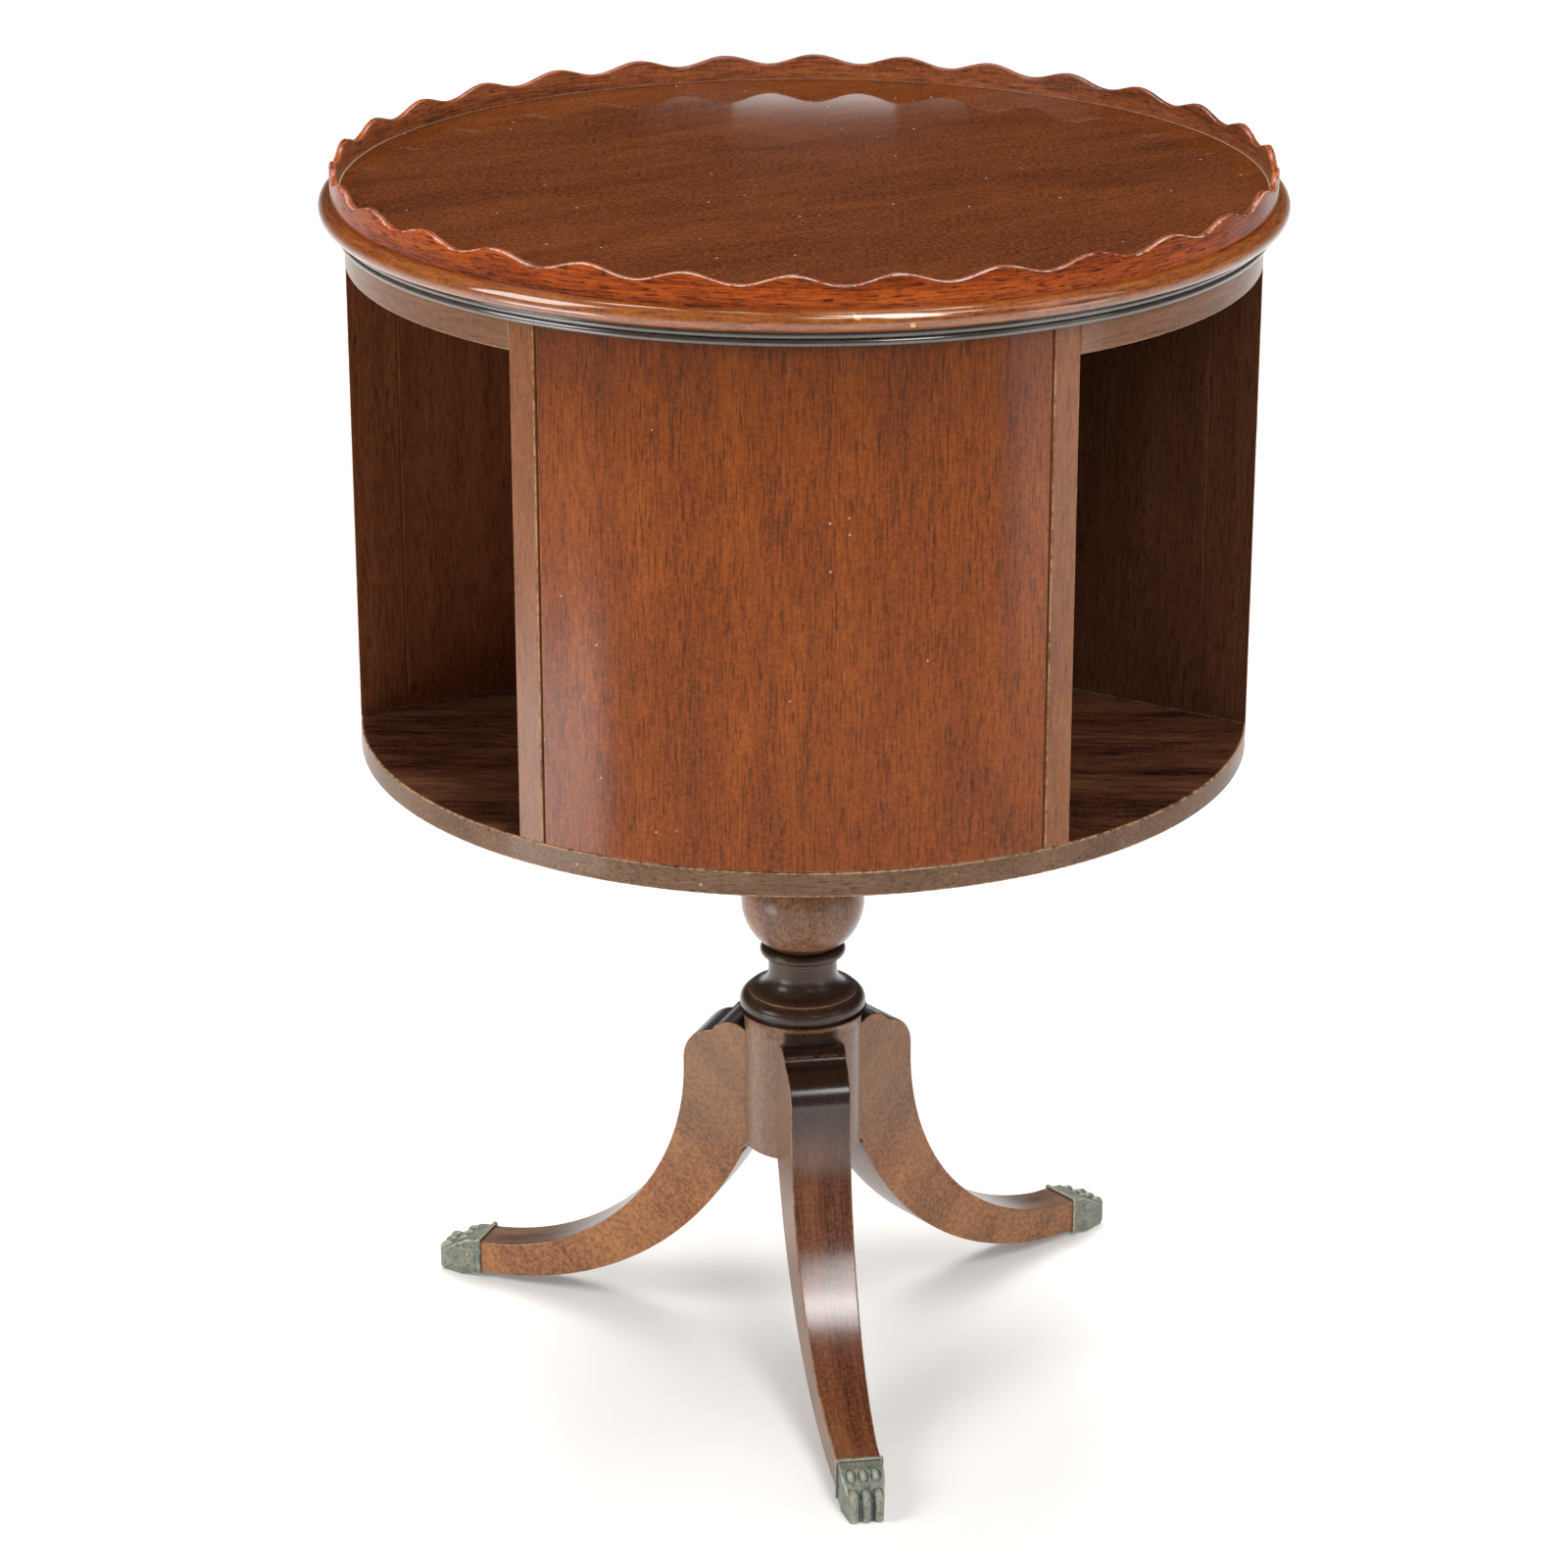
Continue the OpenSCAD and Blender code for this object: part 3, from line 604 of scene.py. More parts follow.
    def hollows(self, graph: Graph) -> Socket:
        """Finds the bands that are darkened almost black: the turned hollows with their toning, and the
        ball's underside with painted shade.

        Args:
            graph: The node tree to add to.

        Returns:
            A number's socket, near 1 inside a band.
        """
        soft = 1.2 * MM
        z = graph.height()
        total: Value = 0.0
        for low, high in self.toned_and_shaded:
            above = graph.spread(z, low - soft, low + soft)
            below = graph.spread(z, high - soft, high + soft, 1.0, 0.0)
            total = graph.math("ADD", total, graph.times(above, below))
        return graph.times(graph.math("MINIMUM", total, 1.0), 0.82)

    def leg_shadows(self, graph: Graph) -> Socket:
        """Finds the dark spots on the hub just above its three legs.

        Args:
            graph: The node tree to add to.

        Returns:
            A number's socket, near 1 inside a spot.
        """
        spot_half_w, line_half_w = 15.5 * MM, 14.6 * MM
        spot_z, top_z, inside_hub = 208.5 * MM, 219.0 * MM, 10.0 * MM
        total: Value = 0.0
        for bearing in LEG_BEARINGS.values():
            out, across, z = graph.split(graph.turned(graph.point, "Z", 90.0 - bearing))
            beside = graph.math("ABSOLUTE", across)
            above = graph.spread(z, spot_z, spot_z + 1.0 * MM)
            below = graph.spread(z, top_z + 1.5 * MM, top_z)
            spot = graph.times(graph.spread(beside, spot_half_w + 2.5 * MM, spot_half_w), above)
            line = graph.times(graph.spread(beside, line_half_w + 2.6 * MM, line_half_w), 0.8)
            inside = graph.times(graph.math("MAXIMUM", spot, line), below)
            outer = graph.spread(out, inside_hub, 2.0 * inside_hub)
            total = graph.math("ADD", total, graph.times(inside, outer))
        return graph.times(total, 0.85)

    def nick(self, graph: Graph, chips: Socket, place: Sequence[float], size: float) -> Socket:
        """Finds one ragged spot where the lacquer is knocked off.

        Args:
            graph: The node tree to add to.
            chips: The pattern that makes the spot ragged.
            place: The spot's middle, in metres.
            size: The spot's radius, in metres.

        Returns:
            A number's socket, near 1 inside the spot.
        """
        node = graph.tree.nodes.new("ShaderNodeVectorMath")
        node.operation = "DISTANCE"
        graph.put(node.inputs[0], graph.point)
        graph.put(node.inputs[1], place)
        ragged = graph.times(node.outputs["Value"], graph.spread(chips, 0.3, 0.7, 0.6, 1.5))
        return graph.spread(ragged, size * 0.85, size * 1.05, 0.95, 0.0)

    def dust(self, graph: Graph) -> Socket:
        """Scatters a few tiny pale specks.

        Args:
            graph: The node tree to add to.

        Returns:
            A number's socket, above 0 on a speck.
        """
        distance, tint = graph.cells(95.0)
        chosen = graph.spread(graph.split(tint)[0], 0.84, 0.86)
        dot = graph.spread(distance, 0.04, 0.085, 1.0, 0.0)
        return graph.times(graph.times(chosen, dot), self.specks)


@dataclass(frozen=True)
class TarnishedBrass:
    """Cast brass with grey-green tarnish, dark in its hollows and rubbed bright on its high spots."""

    name: str = "toe_cap_brass"
    green: Colour = (0.148, 0.184, 0.158)
    grey: Colour = (0.27, 0.26, 0.21)
    rubbed: Colour = (0.62, 0.57, 0.44)

    def build(self) -> bpy.types.Material:
        """Makes the tarnished brass's material.

        Returns:
            The material.
        """
        graph = Graph(self.name)
        cast = graph.noise(CASTING)
        patches = graph.noise(TARNISH)
        olive = graph.noise(OLIVE_PATCHES)
        colour = graph.mix(graph.spread(patches, 0.35, 0.65), self.green, self.grey)
        colour = graph.mix(graph.times(graph.spread(olive, 0.52, 0.66), 0.6), colour, OLIVE_TARNISH)
        colour = graph.mix(graph.spread(cast, 0.5, 0.3), colour, DARK_CASTING)
        colour = graph.mix(graph.attribute("hollow"), colour, DARK_HOLLOW)
        high = graph.times(graph.attribute("wear"), graph.spread(cast, 0.35, 0.6, 0.35, 1.0))
        colour = graph.mix(high, colour, self.rubbed)
        return graph.dress(
            Base_Color=colour,
            Metallic=graph.spread(high, 0.0, 1.0, 0.2, 0.6),
            Roughness=graph.spread(cast, 0.3, 0.7, 0.42, 0.66),
            Normal=graph.bump(cast, 0.35 * MM, 0.6),
        )


@dataclass(frozen=True)
class PlainMetal:
    """A bare metal with fine turning marks and a little dullness."""

    name: str
    colour: Colour
    dull: Colour
    roughness: float = 0.32

    def build(self) -> bpy.types.Material:
        """Makes the metal's material.

        Returns:
            The material.
        """
        graph = Graph(self.name)
        patches = graph.noise(DULL_PATCHES)
        return graph.dress(
            Base_Color=graph.mix(graph.spread(patches, 0.35, 0.75), self.colour, self.dull),
            Metallic=1.0,
            Roughness=graph.spread(patches, 0.3, 0.7, self.roughness, self.roughness + 0.15),
            Normal=graph.bump(graph.noise(TURNING_MARKS), 0.03 * MM, 0.4),
        )


@dataclass(frozen=True)
class Paper:
    """The pale matt floor that the table stands on."""

    name: str = "pale_floor"
    colour: Colour = (0.9, 0.895, 0.88)
    glow: float = 0.18

    def build(self) -> bpy.types.Material:
        """Makes the floor's material.

        Returns:
            The material.
        """
        graph = Graph(self.name)
        darker = tuple(c * 0.965 for c in self.colour)
        return graph.dress(
            Base_Color=graph.mix(graph.spread(graph.noise(FLOOR_CLOUDS), 0.35, 0.7), self.colour, darker),
            Roughness=0.75,
            Emission_Color=self.colour,
            Emission_Strength=self.glow,
        )


def arc(x: float, z: float, radius: float, start: float, end: float, steps: int = 10) -> Outline:
    """Lists the points of an arc.

    Args:
        x: The centre's distance from the axis.
        z: The centre's height.
        radius: The arc's radius.
        start: The first point's angle, in degrees from +X.
        end: The last point's angle.
        steps: How many pieces the arc has.

    Returns:
        The points, both ends included.
    """
    turns = [math.radians(start + (end - start) * i / steps) for i in range(steps + 1)]
    return [(x + radius * math.cos(a), z + radius * math.sin(a)) for a in turns]


def from_bearing(bearing: float, radius: float, z: float) -> Vector:
    """Finds a point by its bearing.

    Args:
        bearing: The bearing, in degrees.
        radius: The distance from the axis, in metres.
        z: The height, in metres.

    Returns:
        The point.
    """
    turn = math.radians(bearing)
    return Vector((radius * math.sin(turn), -radius * math.cos(turn), z))


def as_object(mesh_tool: bmesh.types.BMesh, name: str) -> bpy.types.Object:
    """Turns a finished bmesh into an object of the scene.

    Args:
        mesh_tool: The bmesh, which is freed.
        name: The object's name.

    Returns:
        The object, at the origin.
    """
    mesh = bpy.data.meshes.new(name)
    mesh_tool.to_mesh(mesh)
    mesh_tool.free()
    piece = bpy.data.objects.new(name, mesh)
    bpy.context.scene.collection.objects.link(piece)
    return piece


def smooth(piece: bpy.types.Object, angle: float = 32.0, weighted: bool = True) -> None:
    """Shades a piece smooth, apart from its sharp edges.

    Args:
        piece: The piece.
        angle: Edges sharper than this stay sharp, in degrees.
        weighted: Whether large faces keep their own direction.
    """
    piece.data.shade_smooth()
    piece.data.set_sharp_from_angle(angle=math.radians(angle))
    if weighted:
        modifier = piece.modifiers.new("even_shading", "WEIGHTED_NORMAL")
        modifier.keep_sharp = True


def finish_piece(
    piece: bpy.types.Object, body: str, material: bpy.types.Material, nodes: Sequence[str]
) -> bpy.types.Object:
    """Gives a new piece its material and its place among the solids.

    Args:
        piece: The piece.
        body: The body that it rides on.
        material: Its finish.
        nodes: The solids that it stands for.

    Returns:
        The same piece.
    """
    piece.data.materials.clear()
    piece.data.materials.append(material)
    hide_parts(*nodes)
    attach(piece, body)
    LOG.info("%s: %d faces", piece.name, len(piece.data.polygons))
    return piece


def merged_copy(node: str) -> bmesh.types.BMesh:
    """Copies a solid's mesh and joins its loose triangles into whole faces.

    Args:
        node: The solid's name.

    Returns:
        The copy as a bmesh.
    """
    tool = bmesh.new()
    tool.from_mesh(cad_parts[node].data)
    bmesh.ops.remove_doubles(tool, verts=tool.verts, dist=WELD_SOLID)
    flat = math.radians(0.4)
    bmesh.ops.dissolve_limit(tool, angle_limit=flat, verts=tool.verts, edges=tool.edges)
    return tool


def softened(
    node: str, width: float, name: str, chosen: Optional[Callable[[bmesh.types.BMEdge], bool]] = None
) -> bpy.types.Object:
    """Makes a copy of a solid with rounded edges, which holds how worn each point is.

    Args:
        node: The solid's name.
        width: The width of the rounding, in metres.
        name: The new piece's name.
        chosen: A test that picks the edges to round, or None for all the sharp ones.

    Returns:
        The new piece.
    """
    least = math.radians(30.0)
    tool = merged_copy(node)
    sharp = [e for e in tool.edges if len(e.link_faces) == 2 and e.calc_face_angle(0.0) > least]
    if chosen is not None:
        sharp = [e for e in sharp if chosen(e)]
    made = bmesh.ops.bevel(
        tool,
        geom=sharp,
        offset=width,
        offset_type="OFFSET",
        segments=3,
        profile=0.5,
        affect="EDGES",
        material=-1,
        clamp_overlap=False,
        loop_slide=True,
    )
    layer = tool.verts.layers.float.new("wear")
    rounded = set(made["faces"])
    for vert in tool.verts:
        vert[layer] = 1.0 if vert.link_faces and all(f in rounded for f in vert.link_faces) else 0.0
    piece = as_object(tool, name)
    smooth(piece)
    return piece


def second_finish(
    piece: bpy.types.Object, material: bpy.types.Material, chosen: Callable[[bpy.types.MeshPolygon], bool]
) -> None:
    """Gives some faces of a finished piece another finish.

    Args:
        piece: The piece, which has its first material already.
        material: The second finish.
        chosen: A test that picks the faces.
    """
    piece.data.materials.append(material)
    for polygon in piece.data.polygons:
        polygon.material_index = 1 if chosen(polygon) else 0


def turned_ring(
    outline: Outline, name: str, steps: int = 240, worn: Optional[Callable[[Vector], float]] = None
) -> bpy.types.Object:
    """Turns a closed outline about the upright axis.

    Args:
        outline: The outline's points as radius and height, in millimetres.
        name: The new piece's name.
        steps: How many pieces the full turn has.
        worn: Gives how worn a point is, from 0 to 1.

    Returns:
        The new piece.
    """
    tool = bmesh.new()
    verts = [tool.verts.new((0.0, -r * MM, z * MM)) for r, z in outline]
    edges = [tool.edges.new((a, b)) for a, b in zip(verts, verts[1:] + verts[:1])]
    bmesh.ops.spin(
        tool, geom=verts + edges, cent=(0, 0, 0), axis=(0, 0, 1), dvec=(0, 0, 0),
        angle=math.tau, steps=steps, use_merge=True, use_normal_flip=False, use_duplicate=False,
    )
    bmesh.ops.remove_doubles(tool, verts=tool.verts, dist=WELD)
    bmesh.ops.recalc_face_normals(tool, faces=tool.faces)
    if worn is not None:
        layer = tool.verts.layers.float.new("wear")
        for vert in tool.verts:
            vert[layer] = worn(vert.co)
    piece = as_object(tool, name)
    smooth(piece, 28.0, weighted=False)
    return piece


@dataclass
class Finishes:
    """Every finish of the table, made once and shared by its pieces."""

    made: dict[str, bpy.types.Material] = field(default_factory=dict)

    def add(self, *finishes: Union[Wood, TarnishedBrass, PlainMetal, Paper]) -> None:
        """Makes the materials of some finishes and keeps them by name."""
        for finish in finishes:
            self.made[finish.name] = finish.build()

    def __getitem__(self, name: str) -> bpy.types.Material:
        """Returns a finish's material."""
        return self.made[name]


def table_finishes() -> Finishes:
    """Makes the finishes of the whole table.

    Returns:
        The finishes.
    """
    shelf_z = max(v.co.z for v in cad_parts["bottom_board"].data.vertices)
    finishes = Finishes()
    finishes.add(
        Wood(
            "panel_mahogany", (0.187, 0.039, 0.004), contrast=0.54, streaks=45.0, shares=(0.22, 0.4, 0.38),
            figure=0.42, pores=0.6, coat=0.5, coat_gloss=0.2, specular=0.0, specks=0.6,
            # Painted shadow of the rim, darker towards the panel's top
            shade=(0.62, 0.718, 0.3),
        ),
        Wood(
            "stile_mahogany", (0.2, 0.064, 0.019), contrast=0.4, pores=0.4, coat=0.55, coat_gloss=0.22,
            wear=0.9,
        ),
        Wood(
            "frieze_mahogany", (0.17, 0.069, 0.031), grain=Grain.AROUND, pores=0.3, coat=0.6, coat_gloss=0.2,
        ),
        Wood(
            "board_mahogany", (0.145, 0.077, 0.043), grain=Grain.SIDEWAYS, pores=0.5, wear=0.9,
            nicks=BOARD_NICKS,
        ),
        Wood(
            "floor_mahogany", (0.084, 0.029, 0.014), contrast=1.1, grain=Grain.SIDEWAYS, figure=0.6, wear=0.3,
            coat=0.15,
        ),
        Wood(
            "inside_mahogany", (0.085, 0.03, 0.014), gloss=0.42, coat=0.1, coat_gloss=0.3, wear=0.0,
            foot_line=shelf_z,
        ),
        # A lighter copy of the inside wood for the left compartment: painted light
        Wood(
            "inside_left_lit_mahogany", (0.19, 0.058, 0.022), gloss=0.42, coat=0.15, coat_gloss=0.3, wear=0.0,
            foot_line=shelf_z,
        ),
        Wood("ceiling_mahogany", (0.07, 0.02, 0.006), grain=Grain.SIDEWAYS, gloss=0.45, coat=0.1, wear=0.2),
        Wood(
            "field_mahogany", (0.103, 0.025, 0.0062), contrast=0.65, grain=Grain.FIELD, figure=0.42,
            pores=0.4, shares=(0.12, 0.2, 0.68), mottles=380.0, gloss=0.5, ripple=0.08, coat=0.6,
            coat_gloss=0.055, specular=0.0, specks=1.0, rim_line=0.2677,
        ),
        Wood(
            "gallery_mahogany", (0.235, 0.038, 0.004), contrast=1.1, grain=Grain.AROUND, figure=0.4,
            # Its pale worn tone on the outer arris is partly a painted highlight
            pores=0.9, shares=(0.45, 0.4, 0.15), coat=0.45, wear=0.85, worn=(0.72, 0.58, 0.46),
        ),
        Wood(
            "gallery_inside_mahogany", (0.25, 0.07, 0.024), contrast=0.7, grain=Grain.AROUND, pores=0.6,
            coat=0.5, coat_gloss=0.25, wear=0.9, worn=(0.6, 0.44, 0.32),
        ),
        Wood(
            "rim_mahogany", (0.23, 0.057, 0.008), contrast=0.7, grain=Grain.AROUND, coat=1.0, coat_gloss=0.11,
            coat_ior=1.75, wear=0.0, worn=(0.62, 0.33, 0.09), nicks=RIM_NICKS,
        ),
        Wood(
            "bead_black", (0.055, 0.038, 0.027), grain=Grain.AROUND, coat=1.0, coat_gloss=0.14, coat_ior=1.85,
            wear=0.0, worn=(0.12, 0.08, 0.06),
        ),
        Wood(
            "column_mahogany", (0.22, 0.1, 0.05), contrast=0.65, shares=(0.3, 0.2, 0.5), figure=0.4,
            pores=0.4, coat=0.85, coat_gloss=0.26, grey_sheen=(0.214, 0.212, 0.35), above_legs=True,
            # Toning in the hollows, and painted shade under the ball
            toned_and_shaded=((0.2228, 0.2344), (0.2357, 0.2553), (0.2572, 0.2705)),
        ),
        Wood("softwood", (0.42, 0.28, 0.14), contrast=0.25, coat=0.0, gloss=0.6, wear=0.0),
        TarnishedBrass(),
        PlainMetal("nail_brass", (0.36, 0.32, 0.25), (0.13, 0.13, 0.11), 0.45),
        PlainMetal("swivel_brass", (0.72, 0.52, 0.25), (0.4, 0.28, 0.14)),
        PlainMetal("swivel_steel", (0.55, 0.56, 0.57), (0.3, 0.3, 0.3)),
        Paper(),
    )
    for name, bearing in LEG_BEARINGS.items():
        # The legs share one wood; the front leg's darker tones and the side legs' greyer faces are lit and
        # shaded copies of it, painted light
        front = name == "front"
        finishes.add(
            Wood(
                f"leg_{name}_mahogany", (0.18, 0.07, 0.03) if front else (0.31, 0.122, 0.046), contrast=0.6,
                grain=Grain.ALONG_LEG, bearing=bearing, streaks=30.0, shares=(0.3, 0.15, 0.55), figure=0.6,
                pores=0.15, coat=0.6, coat_gloss=0.3, wear=0.5, grey_sheen=(0.09, 0.17, 0.4),
            ),
            Wood(
                f"leg_{name}_face_mahogany", (0.145, 0.045, 0.018) if front else (0.15, 0.07, 0.045),
                contrast=0.8, grain=Grain.LEG_FACE, bearing=bearing, streaks=100.0, shares=(0.3, 0.3, 0.4),
                figure=0.8, pores=0.4, coat=1.0, coat_gloss=0.19 if front else 0.3,
                # Painted shade on the faces, darker towards the hub, where the drum overhangs
                coat_ior=1.6 if front else 1.45, wear=0.5, shade=(0.11, 0.2, 0.9),
            ),
        )
    return finishes


@dataclass
class Pedestal:
    """The column, the three sabre legs with their toe caps, and the lower half of the swivel."""

    finishes: Finishes
    leg_edge: float = 1.1 * MM
    hub_r: float = 37.5 * MM
    shoulder_r: float = 217.6 * MM
    cap_voxel: float = 0.5 * MM
    side_limit: float = 0.6
    rub_gain: float = 7.0
    hollow_gain: float = 13.0

    def build(self) -> None:
        """Builds and dresses everything that stands still."""
        self.dress_column()
        for name in LEG_BEARINGS:
            self.make_leg(name)
            self.make_toe_cap(name)
        self.dress_hardware()

    def dress_column(self) -> None:
        """Finishes the turned column and the disc on top of it."""
        for node in ("column", "bearer_disc"):
            dress_node(node, self.finishes["column_mahogany"])

    def make_leg(self, name: str) -> None:
        """Rounds the edges of one leg.

        Args:
            name: front, right or left.
        """

        def outside(edge: bmesh.types.BMEdge) -> bool:
            """Tells whether an edge is clear of the leg's joints."""
            return all(self.hub_r < Vector(v.co.xy).length < self.shoulder_r for v in edge.verts)

        piece = softened(f"leg_{name}", self.leg_edge, f"sabre_leg_{name}", outside)
        finish_piece(piece, "base", self.finishes[f"leg_{name}_mahogany"], [f"leg_{name}"])
        across = from_bearing(LEG_BEARINGS[name] + 90.0, 1.0, 0.0)
        second_finish(
            piece,
            self.finishes[f"leg_{name}_face_mahogany"],
            lambda face: abs(face.normal.dot(across)) < self.side_limit,
        )

    def make_toe_cap(self, name: str) -> None:
        """Casts one toe cap in one skin, with worn high spots.

        Args:
            name: front, right or left.
        """
        piece = as_object(merged_copy(f"toe_cap_{name}"), f"cast_toe_cap_{name}")
        remesh = piece.modifiers.new("one_skin", "REMESH")
        remesh.mode = "VOXEL"
        remesh.voxel_size = self.cap_voxel
        soften = piece.modifiers.new("soft_cast", "SMOOTH")
        soften.iterations = 2
        soften.factor = 0.5
        graph = bpy.context.evaluated_depsgraph_get()
        cast = bpy.data.meshes.new_from_object(piece.evaluated_get(graph))
        piece.modifiers.clear()
        piece.data = cast
        self.mark_high_spots(cast)
        piece.data.shade_smooth()
        finish_piece(piece, "base", self.finishes["toe_cap_brass"], [f"toe_cap_{name}"])

    def mark_high_spots(self, mesh: bpy.types.Mesh) -> None:
        """Marks which points of a cast are rubbed and which lie in a hollow.

        Args:
            mesh: The cast's mesh, which gets the two attributes.
        """
        tool = bmesh.new()
        tool.from_mesh(mesh)
        wear = tool.verts.layers.float.new("wear")
        hollow = tool.verts.layers.float.new("hollow")
        tool.normal_update()
        for vert in tool.verts:
            around = [e.other_vert(vert).co for e in vert.link_edges]
            middle = sum(around, Vector()) / len(around)
            raised = (vert.co - middle).dot(vert.normal) / self.cap_voxel
            vert[wear] = min(max(raised * self.rub_gain, 0.0), 1.0)
            vert[hollow] = min(max(-raised * self.hollow_gain, 0.0), 1.0)
        tool.to_mesh(mesh)
        tool.free()

    def dress_hardware(self) -> None:
        """Finishes the nails and the hidden metal pieces."""
        dress_node("toe_cap_nails", self.finishes["nail_brass"])
        dress_node("ball_retainer", self.finishes["swivel_brass"])
        for node in (
            "swivel_lower_plate", "lower_plate_screws", "bearing_balls",
            "pivot_bolt", "pivot_washer", "pivot_nut",
        ):
            dress_node(node, self.finishes["swivel_steel"])


def dress_node(node: str, material: bpy.types.Material) -> None:
    """Gives a solid that stays as it is its finish.

    Args:
        node: The solid's name.
        material: Its finish.
    """
    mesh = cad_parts[node].data
    mesh.materials.clear()
    mesh.materials.append(material)
    LOG.info("%s: solid, %d faces", node, len(mesh.polygons))


@dataclass
class Drum:
    """The revolving carcase: board, partitions, stiles, panels and frieze rails."""

    finishes: Finishes
    edge: float = 0.8 * MM
    board_edge: float = 1.6 * MM
    outer_r: float = 262.0 * MM
    level_limit: float = 0.9
    inward_limit: float = 0.35
    sides: tuple[str, ...] = (
        "front_right", "right_front", "right_rear", "left_rear", "left_front", "front_left",
    )

    def build(self) -> None:
        """Builds and dresses the carcase."""
        board = softened("bottom_board", self.board_edge, "drum_board", self.at_edge)
        finish_piece(board, "drum", self.finishes["board_mahogany"], ["bottom_board"])
        second_finish(
            board, self.finishes["floor_mahogany"], lambda face: face.normal.z > self.level_limit
        )
        for side in self.sides:
            stile = self.soft_piece(f"stile_{side}", "stile_mahogany")
            second_finish(stile, self.finishes[self.inside_finish(side)], self.looks_inwards)
            self.soft_piece(f"partition_{side}", self.inside_finish(side))
        for side in ("front", "right", "left"):
            self.soft_piece(f"panel_{side}", "panel_mahogany")
        for side in ("right", "rear", "left"):
            self.soft_piece(f"frieze_{side}", "frieze_mahogany")
            self.soft_piece(f"back_board_{side}", self.inside_finish(side))
        dress_node("upper_board", self.finishes["ceiling_mahogany"])
        dress_node("glue_blocks", self.finishes["softwood"])
        dress_node("pivot_bush", self.finishes["swivel_brass"])
        for node in ("swivel_upper_plate", "upper_plate_screws", "top_screws"):
            dress_node(node, self.finishes["swivel_steel"])

    def inside_finish(self, side: str) -> str:
        """Returns the finish of the boards at one side; the left compartment's copy is lighter, painted light
        falling into it.
        """
        return "inside_left_lit_mahogany" if side in ("left", "left_rear", "left_front") else "inside_mahogany"

    def at_edge(self, edge: bmesh.types.BMEdge) -> bool:
        """Tells whether an edge is on the drum's outside."""
        return all(Vector(v.co.xy).length > self.outer_r for v in edge.verts)

    def looks_inwards(self, face: bpy.types.MeshPolygon) -> bool:
        """Tells whether a stile's face looks into a compartment or towards the core."""
        out = Vector((face.center.x, face.center.y, 0.0)).normalized()
        return face.normal.dot(out) < self.inward_limit

    def soft_piece(self, node: str, finish: str) -> bpy.types.Object:
        """Rounds the edges of one piece of the carcase, gives it a finish and hangs it on the drum."""
        piece = softened(node, self.edge, f"soft_{node}")
        return finish_piece(piece, "drum", self.finishes[finish], [node])


